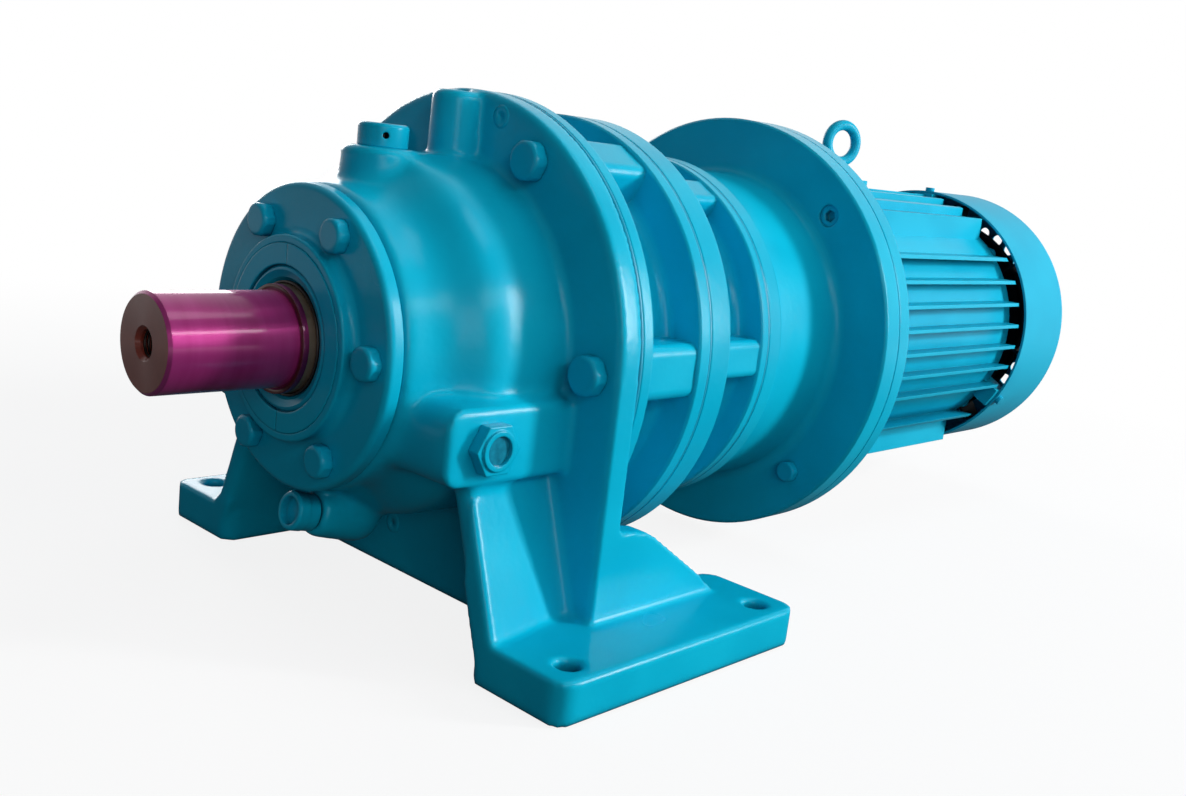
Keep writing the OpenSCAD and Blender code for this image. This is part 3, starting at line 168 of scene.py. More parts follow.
def off_axis(tree: Tree, where: Socket) -> Socket:
    """Measure how far a place lies from the shaft's axis.

    Args:
        tree: Node tree that takes the nodes.
        where: Coordinates in metres.

    Returns:
        The distance in metres.
    """
    level = add(tree, "ShaderNodeVectorMath", {0: where, 1: (0.0, 0.0, -SHAFT_HEIGHT)}, operation="ADD")
    across = add(tree, "ShaderNodeVectorMath", {0: level, 1: (0.0, 1.0, 1.0)}, operation="MULTIPLY")
    return add(tree, "ShaderNodeVectorMath", {0: across}, out="Value", operation="LENGTH")


# ---- finishes --------------------------------------------------------------------------


@dataclass(frozen=True)
class Enamel:
    """Gloss alkyd enamel sprayed on a casting."""

    name: str
    film: str
    thin: str
    # Deep teal painted as shade into corners and hollows between castings.
    corner_shade: str
    roughness: float = 0.24
    shine: float = 0.15
    drift_mm: float = 60.0
    peel_mm: float = 2.4
    peel_depth: float = 0.05
    sand_mm: float = 7.0
    sand_depth: float = 0.07
    edge_mm: float = 2.4

    def material(self) -> bpy.types.Material:
        """Build the node material.

        Returns:
            The enamel's material.
        """
        material, tree, where = blank_material(self.name)
        # A spray pass lays the film a little thinner on one patch than on the next.
        drift, tone = patchy_tone(
            tree, where, self.drift_mm, 1.0, (0.3, 0.7), (self.film, self.thin), "SMOOTHSTEP"
        )
        # Painted shade: the colour darkens toward a deep teal in the corners and hollows between castings,
        # where less light reaches.
        hollow = add(tree, "ShaderNodeAmbientOcclusion", {"Distance": 0.03}, out="AO", samples=6)
        open_air = add(tree, "ShaderNodeMapRange", {"Value": hollow, "From Min": 0.05, "From Max": 0.5})
        painted_shade_mix = {"Factor": open_air, 6: linear(self.corner_shade), 7: tone}
        colour = add(tree, "ShaderNodeMix", painted_shade_mix, out=2, data_type="RGBA")
        # Real edges are rounded by the mould and by the film, so they catch a thin line of light.
        soft_edge = add(tree, "ShaderNodeBevel", {"Radius": self.edge_mm * MM}, samples=8)
        skin = add(tree, "ShaderNodeTexNoise", {"Vector": where, "Scale": 1000 / self.sand_mm, "Detail": 1.0})
        cast = add(tree, "ShaderNodeBump", {
            "Height": skin, "Strength": self.sand_depth, "Distance": 0.002, "Normal": soft_edge,
        })
        # Orange peel is about 1 mm across; it is drawn coarser, as that would be too fine to show.
        peel = add(tree, "ShaderNodeTexNoise", {"Vector": where, "Scale": 1000 / self.peel_mm, "Detail": 2.0})
        film = add(tree, "ShaderNodeBump", {
            "Height": peel, "Strength": self.peel_depth, "Distance": 0.0006, "Normal": cast,
        })
        gloss = add(tree, "ShaderNodeMapRange", {
            "Value": drift, "To Min": self.roughness - 0.05, "To Max": self.roughness + 0.06,
        })
        surface = add(tree, "ShaderNodeBsdfPrincipled", {
            "Base Color": colour, "Roughness": gloss, "IOR": 1.5, "Specular IOR Level": self.shine,
            "Normal": film,
        })
        add(tree, "ShaderNodeOutputMaterial", {"Surface": surface})
        return material


@dataclass(frozen=True)
class MachinedMetal:
    """Bare metal that a grinder, lathe or press left with fine lines and a slight mottle."""

    name: str
    bright: str
    dull: str
    roughness: float = 0.3
    mottle_mm: float = 17.0
    line_mm: float = 0.8
    stretch: tuple[float, float, float] = (1.0, 1.0, 1.0)
    line_depth: float = 0.1
    metallic: float = 1.0

    def material(self) -> bpy.types.Material:
        """Build the node material.

        Returns:
            The metal's material.
        """
        material, tree, where = blank_material(self.name)
        mottle, tone = patchy_tone(tree, where, self.mottle_mm, 4.0, (0.3, 0.7), (self.dull, self.bright))
        # Tool lines run one way; real ones are under 0.2 mm apart and are drawn coarser to show.
        drawn = add(tree, "ShaderNodeMapping", {"Vector": where, "Scale": self.stretch})
        lines = add(tree, "ShaderNodeTexNoise", {
            "Vector": drawn, "Scale": 1000 / self.line_mm, "Detail": 2.0,
        })
        edge = add(tree, "ShaderNodeBevel", {"Radius": 0.0004}, samples=4)
        bump = add(tree, "ShaderNodeBump", {
            "Height": lines, "Strength": self.line_depth, "Distance": 0.0003, "Normal": edge,
        })
        rough = add(tree, "ShaderNodeMapRange", {
            "Value": mottle, "To Min": self.roughness - 0.06, "To Max": self.roughness + 0.1,
        })
        surface = add(tree, "ShaderNodeBsdfPrincipled", {
            "Base Color": tone, "Metallic": self.metallic, "Roughness": rough, "Normal": bump,
        })
        add(tree, "ShaderNodeOutputMaterial", {"Surface": surface})
        return material


@dataclass(frozen=True)
class Moulded:
    """Moulded rubber, plastic, paste or varnish: a body colour with a fine grain."""

    name: str
    body: str
    worn: str
    roughness: float
    wear_mm: float = 25.0
    grain_mm: float = 1.2
    grain_depth: float = 0.15

    def material(self) -> bpy.types.Material:
        """Build the node material.

        Returns:
            The moulded material.
        """
        material, tree, where = blank_material(self.name)
        _, tone = patchy_tone(tree, where, self.wear_mm, 3.0, (0.35, 0.7), (self.body, self.worn))
        # The mould's grain is drawn at the size given, which is coarser than the real spark finish.
        grain = add(tree, "ShaderNodeTexNoise", {
            "Vector": where, "Scale": 1000 / self.grain_mm, "Detail": 2.0,
        })
        bump = add(tree, "ShaderNodeBump", {
            "Height": grain, "Strength": self.grain_depth, "Distance": 0.0004,
        })
        surface = add(tree, "ShaderNodeBsdfPrincipled", {
            "Base Color": tone, "Roughness": self.roughness, "IOR": 1.5, "Normal": bump,
        })
        add(tree, "ShaderNodeOutputMaterial", {"Surface": surface})
        return material


@dataclass(frozen=True)
class ShaftLacquer:
    """Magenta peelable lacquer dipped on a ground steel shaft."""

    name: str = "magenta_peelable_lacquer_on_ground_steel"
    film: str = "#a52a76"
    thin: str = "#b63c88"
    oiled: str = "#7a3024"
    stained: str = "#8a3c2e"
    sag_mm: float = 8.0
    stain_mm: float = 9.0
    bore_mm: float = 11.5

    def material(self) -> bpy.types.Material:
        """Build the node material.

        Returns:
            The lacquer's material; the end face is nearly bare, brown with oil.
        """
        material, tree, where = blank_material(self.name)
        # The dip sags into bands round the shaft; across them the pattern is far wider.
        bands = add(tree, "ShaderNodeMapping", {"Vector": where, "Scale": (1000 / self.sag_mm, 9.0, 9.0)})
        sag, tone = patchy_tone(tree, bands, 1000.0, 2.0, (0.3, 0.75), (self.film, self.thin))
        facing = add(tree, "ShaderNodeSeparateXYZ", {0: add(tree, "ShaderNodeNewGeometry", out="Normal")})
        end_face = add(tree, "ShaderNodeMapRange", {"Value": facing, "From Min": -0.8, "From Max": -0.97})
        in_bore = add(
            tree, "ShaderNodeMath", {0: off_axis(tree, where), 1: self.bore_mm * MM}, operation="LESS_THAN"
        )
        bare = add(tree, "ShaderNodeMath", {0: end_face, 1: in_bore}, operation="MAXIMUM")
        steel_glow = add(tree, "ShaderNodeMapRange", {"Value": bare, "To Min": 0.5, "To Max": 0.0})
        _, stain = patchy_tone(tree, where, self.stain_mm, 5.0, (0.0, 1.0), (self.oiled, self.stained))
        colour = add(tree, "ShaderNodeMix", {"Factor": bare, 6: tone, 7: stain}, out=2, data_type="RGBA")
        edge = add(tree, "ShaderNodeBevel", {"Radius": 0.0012}, samples=6)
        bump = add(tree, "ShaderNodeBump", {
            "Height": sag, "Strength": 0.05, "Distance": 0.0004, "Normal": edge,
        })
        # The grinding lines run round the shaft, so a light stretches into one streak along it.
        round_shaft = add(tree, "ShaderNodeTangent", direction_type="RADIAL", axis="X")
        surface = add(tree, "ShaderNodeBsdfPrincipled", {
            "Base Color": colour, "Metallic": steel_glow, "Roughness": 0.5, "Anisotropic": 0.9,
            "Anisotropic Rotation": 0.25, "Tangent": round_shaft, "Specular IOR Level": 0.2,
            "Coat Weight": 0.8, "Coat Roughness": 0.14, "Normal": bump,
        })
        add(tree, "ShaderNodeOutputMaterial", {"Surface": surface})
        return material


@dataclass(frozen=True)
class OversprayedRubber:
    """Nitrile oil seal, bare at the lip and oversprayed with enamel further out."""

    name: str = "nitrile_seal_with_enamel_overspray"
    rubber: str = "#1b1714"
    paint: str = "#04a5c6"
    bare_mm: float = 38.2
    painted_mm: float = 39.4
    speck_mm: float = 5.0
    wander_mm: float = 1.4

    def material(self) -> bpy.types.Material:
        """Build the node material.

        Returns:
            The seal's material; the spray's ragged edge runs round the shaft's axis.
        """
        material, tree, where = blank_material(self.name)
        ragged = add(tree, "ShaderNodeTexNoise", {
            "Vector": where, "Scale": 1000 / self.speck_mm, "Detail": 2.0,
        })
        wander = add(
            tree, "ShaderNodeMath", {0: ragged, 1: self.wander_mm * MM, 2: off_axis(tree, where)},
            operation="MULTIPLY_ADD",
        )
        sprayed = add(tree, "ShaderNodeMapRange", {
            "Value": wander, "From Min": self.bare_mm * MM, "From Max": self.painted_mm * MM,
        })
        sides = {"Factor": sprayed, 6: linear(self.rubber), 7: linear(self.paint)}
        colour = add(tree, "ShaderNodeMix", sides, out=2, data_type="RGBA")
        shine = add(tree, "ShaderNodeMapRange", {"Value": sprayed, "To Min": 0.6, "To Max": 0.25})
        bump = add(tree, "ShaderNodeBump", {"Height": ragged, "Strength": 0.08, "Distance": 0.0004})
        surface = add(tree, "ShaderNodeBsdfPrincipled", {
            "Base Color": colour, "Roughness": shine, "IOR": 1.5, "Specular IOR Level": 0.25, "Normal": bump,
        })
        add(tree, "ShaderNodeOutputMaterial", {"Surface": surface})
        return material


@dataclass(frozen=True)
class OversprayedGlass:
    """Cast sight glass under a mist of enamel."""

    name: str = "cast_sight_glass_under_enamel_mist"
    mist: str = "#1590ac"
    oil: str = "#0b6a83"
    droplet_mm: float = 6.0

    def material(self) -> bpy.types.Material:
        """Build the node material.

        Returns:
            The glass's material.
        """
        material, tree, where = blank_material(self.name)
        # Spray droplets dry in patches.
        cloud, tone = patchy_tone(tree, where, self.droplet_mm, 3.0, (0.3, 0.75), (self.mist, self.oil))
        bump = add(tree, "ShaderNodeBump", {"Height": cloud, "Strength": 0.1, "Distance": 0.0005})
        surface = add(tree, "ShaderNodeBsdfPrincipled", {
            "Base Color": tone, "Roughness": 0.1, "IOR": 1.52, "Specular IOR Level": 0.5, "Normal": bump,
        })
        add(tree, "ShaderNodeOutputMaterial", {"Surface": surface})
        return material


class Finish(Enum):
    """Every finish on the gearmotor."""

    # Sprayed gloss enamel over sand-cast iron: deep wet teal, soft edges, faint sand skin below.
    GEAR_ENAMEL = Enamel("gloss_enamel_on_sand_cast_iron", "#04b2d3", "#09bbdb", "#035c76")
    # The same enamel on machined rims and turned covers: smoother, with crisper edges.
    TURNED_ENAMEL = Enamel(
        "gloss_enamel_on_turned_iron", "#04b0d1", "#09b8d9", "#035c76", sand_depth=0.03, edge_mm=1.8
    )
    # Several coats flooded over screw heads: the flats melt into fat, shiny, rounded buttons.
    FLOODED_ENAMEL = Enamel(
        "flooded_enamel_on_zinc_plated_screws", "#04acce", "#09b4d6", "#035c76", roughness=0.22,
        sand_depth=0.02, edge_mm=3.2, shine=0.2,
    )
    # Enamel on die-cast aluminium: thinner and paler, smooth, with sharp fin edges.
    MOTOR_ENAMEL = Enamel(
        "gloss_enamel_on_die_cast_aluminium", "#0cafd0", "#14b6d6", "#035c76", sand_mm=14.0, sand_depth=0.02,
        edge_mm=0.9, roughness=0.3, shine=0.12,
    )
    # Thin enamel on a drawn sheet-steel cowl: the palest and smoothest, a dull eggshell sheen.
    COWL_ENAMEL = Enamel(
        "gloss_enamel_on_drawn_sheet_steel", "#17a9cb", "#1eb0d1", "#0a6b85", sand_mm=30.0, sand_depth=0.01,
        edge_mm=1.6, roughness=0.4, shine=0.08,
    )
    # Translucent magenta skin over bright steel: glows pink where the light strikes, plum elsewhere.
    SHAFT_LACQUER = ShaftLacquer()
    # Matt black rubber at the lip that turns into glossy teal where the spray caught it.
    SEAL_RUBBER = OversprayedRubber()
    # A wet dark disc with a cloudy teal mist on it.
    SIGHT_GLASS = OversprayedGlass()
    # Plunge-ground alloy steel: bright and satin, with fine rings round the axis.
    GROUND_STEEL = MachinedMetal(
        "plunge_ground_alloy_steel", "#b9bcc0", "#8d9196", roughness=0.28, stretch=(1.0, 12.0, 12.0)
    )
    # Hardened and honed bearing steel: a mirror with the faintest haze.
    BEARING_STEEL = MachinedMetal("honed_bearing_steel", "#d2d4d6", "#a9adb1", roughness=0.16, line_mm=0.4)
    # Punched silicon-steel sheets in a stack: dull grey, with a line at every few sheets.
    CORE_SHEETS = MachinedMetal(
        "stacked_silicon_steel_sheets", "#7d8186", "#4f5357", roughness=0.45, stretch=(60.0, 1.0, 1.0),
        line_depth=0.4,
    )
    # Turned tin bronze under dried grease and dust: a dull tan ring with little glint.
    WEAR_BRONZE = MachinedMetal("turned_tin_bronze", "#a8927c", "#8a7360", roughness=0.4, metallic=0.7)
    # Enamelled copper wire under dipped varnish: glossy red-brown with a coarse wound grain.
    VARNISHED_WIRE = Moulded(
        "varnish_dipped_copper_winding", "#8a3c1a", "#6b2a12", 0.3, grain_mm=2.5, grain_depth=0.6
    )
    # Compression-moulded black nitrile, greasy: a dark matt line round the wear sleeve.
    LIP_RUBBER = Moulded("compression_moulded_nitrile", "#1d1513", "#2c211d", 0.45)
    # Injection-moulded glass-filled polyamide: charcoal with a fine spark-eroded grain.
    POLYAMIDE = Moulded("injection_moulded_polyamide", "#202326", "#2c3033", 0.5)
    # Anaerobic sealant squeezed out of a joint, then painted over: a soft teal bead in the groove.
    JOINT_SEALANT = Moulded("painted_anaerobic_sealant", "#04a0c0", "#05a8c8", 0.35, grain_mm=3.0)
    # Cut threads left oily and out of the spray: dark wet steel.
    OILY_THREAD = MachinedMetal("oily_cut_thread_steel", "#5c5552", "#3a3432", roughness=0.35, line_mm=0.6)


# ---- camera and image points -----------------------------------------------------------


@dataclass(frozen=True)
class PhotoCamera:
    """The photograph's camera, settled by the image points with no shift."""

    place: tuple[float, float, float] = (-0.63403, -0.69234, 0.34697)
    azimuth: float = -47.9
    elevation: float = 11.48
    roll: float = 6.77
    focal_px: float = 1215.28
    sensor_mm: float = 36.0
    shift: tuple[float, float] = (0.0, 0.0)

    def axes(self) -> Matrix:
        """Return the camera's right, up and back axes as the columns of a matrix."""
        a, e, r = (math.radians(v) for v in (self.azimuth, self.elevation, self.roll))
        back = Vector((math.sin(a) * math.cos(e), -math.cos(a) * math.cos(e), math.sin(e)))
        level = Vector((math.cos(a), math.sin(a), 0.0))
        rise = back.cross(level)
        right = level * math.cos(r) + rise * math.sin(r)
        return Matrix((right, back.cross(right), back)).transposed()

    def build(self) -> bpy.types.Object:
        """Make the scene's camera.

        Returns:
            The camera object.
        """
        data = bpy.data.cameras.new("photo_camera")
        data.sensor_fit = "AUTO"
        data.sensor_width = self.sensor_mm
        data.lens = self.focal_px / PHOTO_W * self.sensor_mm
        data.shift_x, data.shift_y = self.shift
        data.clip_start, data.clip_end = 0.02, 60.0
        camera = placed("photo_camera", data)
        camera.matrix_world = Matrix.Translation(self.place) @ self.axes().to_4x4()
        bpy.context.scene.camera = camera
        return camera

    def ray(self, x: float, y: float) -> tuple[Vector, Vector]:
        """Return the start and direction of the ray through an image point.

        Args:
            x: Pixels from the photograph's left edge.
            y: Pixels from its top edge.

        Returns:
            The ray's start and its unit direction in the row frame.
        """
        long_side = max(PHOTO_W, PHOTO_H)
        lens = self.focal_px / PHOTO_W * self.sensor_mm
        local = Vector((
            x - PHOTO_W / 2 + self.shift[0] * long_side,
            PHOTO_H / 2 - y + self.shift[1] * long_side,
            -long_side * lens / self.sensor_mm,
        ))
        return Vector(self.place), (self.axes() @ local).normalized()

    def pixel(self, point: Vector) -> tuple[float, float]:
        """Project a place in the row frame to the photograph's pixels.

        Args:
            point: Place in metres.

        Returns:
            Its x and y in pixels.
        """
        local = self.axes().transposed() @ (point - Vector(self.place))
        scale = self.focal_px / -local.z
        return PHOTO_W / 2 + local.x * scale, PHOTO_H / 2 - local.y * scale


IMAGE_POINTS: dict[str, tuple[float, float]] = {
    "object_left": (120.0, 340.0),
    "object_right": (1062.0, 312.0),
    "object_top": (455.0, 88.0),
    "object_bottom": (560.0, 727.7),
    "shaft_end_centre": (144.0, 343.5),
    "vent_plug": (383.0, 135.2),
    "vent_hole": (383.5, 135.4),
    "sunk_flange_screw": (827.5, 216.0),
    "lower_flange_screw": (787.2, 471.3),
    "lifting_eye_hole": (841.6, 143.4),
    "cowl_screw": (930.1, 189.5),
    "oil_gauge": (494.1, 449.8),
    "drain_plug": (299.7, 510.9),
    "near_front_foot_hole": (567.7, 663.8),
    "near_rear_foot_hole": (753.5, 603.5),
}


def surface_point(
    camera: PhotoCamera, name: str, carriers: Sequence[bpy.types.Object]
) -> tuple[Vector, Vector]:
    """Find where an image point's ray meets the pieces that carry a fitting.

    Args:
        camera: The photograph's camera.
        name: Name of an image point.
        carriers: Pieces that the ray may meet, as finished and placed.

    Returns:
        The place and the surface's normal there; a miss gives the place nearest the ray.
    """
    start, way = camera.ray(*IMAGE_POINTS[name])
    graph = bpy.context.evaluated_depsgraph_get()
    best: tuple[float, Vector, Vector] | None = None
    for piece in carriers:
        tree = BVHTree.FromObject(piece, graph)
        to_world = piece.matrix_world
        to_local = to_world.inverted()
        hit, normal, _, _ = tree.ray_cast(to_local @ start, to_local.to_3x3() @ way)
        if hit is None:
            along = max(0.0, (Vector(piece.bound_box[0]) - start).dot(way))
            hit, normal, _, _ = tree.find_nearest(to_local @ (start + way * along))
        place = to_world @ hit
        reach = (place - start).length
        if best is None or reach < best[0]:
            best = (reach, place, (to_world.to_3x3() @ normal).normalized())
    assert best is not None
    return best[1], best[2]


# ---- mesh shapes -----------------------------------------------------------------------


@dataclass(frozen=True)
class Mount:
    """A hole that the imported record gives, where a fitting's thread goes."""

    place: Vector
    radius_mm: float
    length_mm: float

    @classmethod
    def named(cls, name: str) -> "Mount":
        """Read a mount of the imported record.

        Args:
            name: Name of the mount.

        Returns:
            Its middle, radius and length.
        """
        entry = next(m for m in frame["record"]["mounts"] if m["name"] == name)
        sizes = entry["dims"]
        return cls(Vector(entry["pos_m"]), sizes["r_mm"], sizes["length_mm"])


def join(
    shape: bmesh.types.BMesh, ring: list[bmesh.types.BMVert], after: list[bmesh.types.BMVert]
) -> None:
    """Close the band of faces between two rings of vertices.

    Args:
        shape: Geometry that holds them.
        ring: One ring.
        after: The next, with as many vertices.
    """
    for i, vertex in enumerate(ring):
        shape.faces.new((vertex, after[i], after[i - 1], ring[i - 1]))


@dataclass(frozen=True)
class RoundBead:
    """A ring swept round an axis with a given outline, such as a lip, a bead or a washer."""

    outline_mm: tuple[tuple[float, float], ...]
    steps: int = 128

    def mesh(self, name: str) -> bpy.types.Mesh:
        """Sweep the outline round the mesh's own Z axis.

        Args:
            name: Name of the mesh.

        Returns:
            The closed ring; outline points are radius and height.
        """
        shape = bmesh.new()
        rings = []
        for step in range(self.steps):
            turn = 2 * math.pi * step / self.steps
            rings.append([
                shape.verts.new((r * MM * math.cos(turn), r * MM * math.sin(turn), z * MM))
                for r, z in self.outline_mm
            ])
        for ring, after in zip(rings, rings[1:] + rings[:1]):
            join(shape, ring, after)
        return finished(shape, name)


@dataclass(frozen=True)
class CutThread:
    """The helical ridge of a metric internal thread."""

    hole_r_mm: float
    pitch_mm: float
    length_mm: float
    crest_share: float = 0.45
    foot_share: float = 0.42
    steps: int = 40

    def mesh(self, name: str) -> bpy.types.Mesh:
        """Wind the ridge up the mesh's own Z axis from its origin.

        Args:
            name: Name of the mesh.

        Returns:
            The ridge, whose crest stands its share of the pitch in from the hole's wall.
        """
        shape = bmesh.new()
        foot = self.hole_r_mm * MM
        crest = (self.hole_r_mm - self.crest_share * self.pitch_mm) * MM
        half = self.foot_share * self.pitch_mm * MM
        total = int(self.length_mm / self.pitch_mm * self.steps)
        rows = []
        for step in range(total + 1):
            turn = 2 * math.pi * step / self.steps
            height = self.pitch_mm * MM * step / self.steps
            across, up = math.cos(turn), math.sin(turn)
            rows.append([
                shape.verts.new((foot * across, foot * up, height - half)),
                shape.verts.new((crest * across, crest * up, height)),
                shape.verts.new((foot * across, foot * up, height + half)),
            ])
        for row, after in zip(rows, rows[1:]):
            join(shape, row, after)
        shape.faces.new(rows[0])
        shape.faces.new(list(reversed(rows[-1])))
        return finished(shape, name)


def finished(shape: bmesh.types.BMesh, name: str) -> bpy.types.Mesh:
    """Turn built geometry into a smooth-shaded mesh, its faces outwards.

    Args:
        shape: The built geometry, which is freed.
        name: Name of the mesh.

    Returns:
        The mesh.
    """
    bmesh.ops.recalc_face_normals(shape, faces=shape.faces)
    for face in shape.faces:
        face.smooth = True
    mesh = bpy.data.meshes.new(name)
    shape.to_mesh(mesh)
    shape.free()
    return mesh


def placed(name: str, data: bpy.types.ID) -> bpy.types.Object:
    """Put a new object into the scene.

    Args:
        name: Its name.
        data: Its mesh, lamp or camera.

    Returns:
        The object.
    """
    thing = bpy.data.objects.new(name, data)
    bpy.context.scene.collection.objects.link(thing)
    return thing


def bead_outline(radius_mm: float, bulge_mm: float, steps: int = 10) -> tuple[tuple[float, float], ...]:
    """Return the round outline of a bead of paste.

    Args:
        radius_mm: Distance of the bead's middle from the axis.
        bulge_mm: The bead's own radius.
        steps: Points round the bead.

    Returns:
        Radius and height pairs in millimetres.
    """
    turns = [2 * math.pi * i / steps for i in range(steps)]
    return tuple((radius_mm + bulge_mm * math.cos(t), bulge_mm * math.sin(t)) for t in turns)


# ---- sub-assemblies --------------------------------------------------------------------


class Dressed:
    """Base of the sub-assemblies: puts finishes on CAD nodes and adds fittings."""

    # Finishes, and the names of the nodes that take each.
    coats: tuple[tuple[Finish, str], ...] = ()
    finishes: dict[Finish, bpy.types.Material] = {}

    @classmethod
    def material(cls, finish: Finish) -> bpy.types.Material:
        """Return a finish's material, made once.

        Args:
            finish: The finish wanted.

        Returns:
            Its material.
        """
        if finish not in cls.finishes:
            cls.finishes[finish] = finish.value.material()
        return cls.finishes[finish]

    def dress(self) -> None:
        """Give each CAD node of the sub-assembly its coat."""
        for finish, nodes in self.coats:
            for name in nodes.split():
                piece = frame["nodes"][name]
                piece.data.materials.clear()
                piece.data.materials.append(self.material(finish))
                log.info("%s: %s", name, finish.name.lower())

    def fit(
        self, mesh: bpy.types.Mesh, place: Vector, axis: Vector, body: str, slot: str, finish: Finish
    ) -> bpy.types.Object:
        """Put a built fitting in place on a CAD body.

        Args:
            mesh: The fitting, built along its own Z axis.
            place: Where its origin goes.
            axis: Direction that its Z axis takes.
            body: CAD body that it rides on.
            slot: Material slot of the record that it belongs to; not used.
            finish: Its finish.

        Returns:
            The fitting.
        """
        piece = placed(mesh.name, mesh)
        mesh.materials.append(self.material(finish))
        piece.rotation_mode = "QUATERNION"
        piece.rotation_quaternion = Vector((0, 0, 1)).rotation_difference(axis)
        piece.location = place
        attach(piece, body)
        log.info("%s: %s", piece.name, finish.name.lower())
        return piece


@dataclass
class GearCase(Dressed):
    """Base casting, covers, ring housings and adapter with their screws and plugs."""

    camera: PhotoCamera
    lip_r_mm: float = 36.75
    lip_width_mm: float = 2.2
    lip_depth_mm: float = 2.6
    eye_pitch_mm: float = 2.0
    eye_runout_mm: float = 3.0
    pin_r_mm: float = 3.4
    pin_half_mm: float = 4.0
    sealant_mm: float = 1.5
    seam_inset_mm: float = 0.1
    joint_radii_mm: tuple[tuple[str, float], ...] = (
        ("ring_housing_low", 180.0), ("ring_housing_high", 171.0), ("motor_adapter", 148.0),
        ("motor_flange", 190.0),
    )
    locating_r_mm: float = 167.0
    locating_turn: float = 14.0
    flange_mm: float = 21.0
    # The moulded skin: voxel size, smoothing turns, and where its fillets stop, in metres.
    skin_mm: float = 2.4
    even_turns: int = 3
    blend_turns: int = 60
    fade: float = 0.004
    cover_seat_x: float = -0.172
    flange_face_x: float = -0.048
    bore_r: float = 0.098
    foot_top_z: float = 0.034
    lug_top_z: float = 0.326
    gauge_pad_y: float = -0.1385
    gauge_pad_z: float = 0.2
    coats: tuple[tuple[Finish, str], ...] = (
        (Finish.GEAR_ENAMEL, "ring_housing_low ring_housing_high motor_adapter"),
        (Finish.TURNED_ENAMEL, "front_cover seal_retainer vent_plug oil_gauge drain_plug motor_flange"),
        (Finish.FLOODED_ENAMEL, "cover_screws flange_screws locating_screw motor_flange_screws"),
        (Finish.GROUND_STEEL, "bearing_plate inner_screws"),
        (Finish.BEARING_STEEL, "case_bearing_outer ring_pins_low ring_pins_high"),
        (Finish.SEAL_RUBBER, "oil_seals"),
        (Finish.SIGHT_GLASS, "gauge_lens"),
    )

    def build(self) -> None:
        """Dress the gear case and add its moulded skin, lip, thread and sealant."""
        self.dress()
        self.cast_skin()
        self.dust_lip()
        self.lug_thread()
        self.joint_sealant()
        self.locating_plugs()
        self.breather_pin()

    def blending(self, place: Vector) -> float:
        """Say how far the mould's fillets soften the base casting at a place.

        Args:
            place: Place on the casting in metres.

        Returns:
            1 between the bell, its bosses and the legs, and 0 on machined faces and rims.
        """
        if place.z >= self.lug_top_z or (place.y <= self.gauge_pad_y and place.z <= self.gauge_pad_z):
            return 0.0
        across = math.hypot(place.y, place.z - SHAFT_HEIGHT)
        clear = (
            self.flange_face_x - place.x, place.x - self.cover_seat_x, across - self.bore_r,
            place.z - self.foot_top_z,
        )
        return math.prod(min(1.0, max(0.0, gap / self.fade)) for gap in clear)

    def cast_skin(self) -> None:
        """Replace the sharp base casting by one whose inner corners have the mould's fillets."""
        casting = frame["nodes"]["base_housing"]
        skin = placed("base_casting_skin", casting.data.copy())
        voxels = skin.modifiers.new("voxels", "REMESH")
        voxels.mode, voxels.voxel_size, voxels.use_smooth_shade = "VOXEL", self.skin_mm * MM, True
        graph = bpy.context.evaluated_depsgraph_get()
        shape = bpy.data.meshes.new_from_object(skin.evaluated_get(graph))
        skin.modifiers.clear()
        skin.data = shape
        soft = skin.vertex_groups.new(name="fillets")
        for vertex in shape.vertices:
            share = self.blending(vertex.co)
            if share > 0:
                soft.add([vertex.index], share, "REPLACE")
        even = skin.modifiers.new("even_skin", "SMOOTH")
        even.factor, even.iterations = 0.5, self.even_turns
        fillet = skin.modifiers.new("mould_fillets", "SMOOTH")
        fillet.factor, fillet.iterations, fillet.vertex_group = 0.5, self.blend_turns, soft.name
        shape.materials.clear()
        shape.materials.append(self.material(Finish.GEAR_ENAMEL))
        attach(skin, "housing")
        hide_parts("base_housing")
        log.info("%s: %s", skin.name, Finish.GEAR_ENAMEL.name.lower())

    def dust_lip(self) -> None:
        """Add the dark dust lip that stands round the shaft inside the oil seal."""
        inner, wide = self.lip_r_mm, self.lip_width_mm
        outline = (
            (inner, -1.2), (inner + 0.4, 0.4), (inner + wide * 0.7, 0.9), (inner + wide, 0.2),
            (inner + wide, -1.6),
        )
        face = Vector((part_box("oil_seals")[0][0] + self.lip_depth_mm * MM, 0.0, SHAFT_HEIGHT))
        lip = RoundBead(outline).mesh("seal_dust_lip")
        self.fit(lip, face, Vector((-1, 0, 0)), "housing", "seal_rubber", Finish.LIP_RUBBER)

    def lug_thread(self) -> None:
        """Cut the eye-bolt thread in the open lug."""
        hole = Mount.named("lug_thread")
        length_mm = hole.length_mm - 2 * self.eye_runout_mm
        thread = CutThread(hole.radius_mm, self.eye_pitch_mm, length_mm).mesh("lug_thread_ridge")
        foot = hole.place - Vector((0, 0, length_mm / 2 * MM))
        self.fit(thread, foot, Vector((0, 0, 1)), "housing", "gear_enamel", Finish.OILY_THREAD)

    def breather_pin(self) -> None:
        """Set the dark pin that closes the vent plug's cross hole half way."""
        low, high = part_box("vent_plug")
        mouth, _ = surface_point(self.camera, "vent_hole", [frame["nodes"]["vent_plug"]])
        wide, half = self.pin_r_mm, self.pin_half_mm
        outline = ((AXIS_MM, -half), (wide, -half), (wide, half), (AXIS_MM, half))
        pin = RoundBead(outline, 32).mesh("vent_breather_pin")
        place = Vector(((low.x + high.x) / 2, 0.0, mouth.z))
        self.fit(pin, place, Vector((0, 0, 1)), "housing", "machined_steel", Finish.OILY_THREAD)

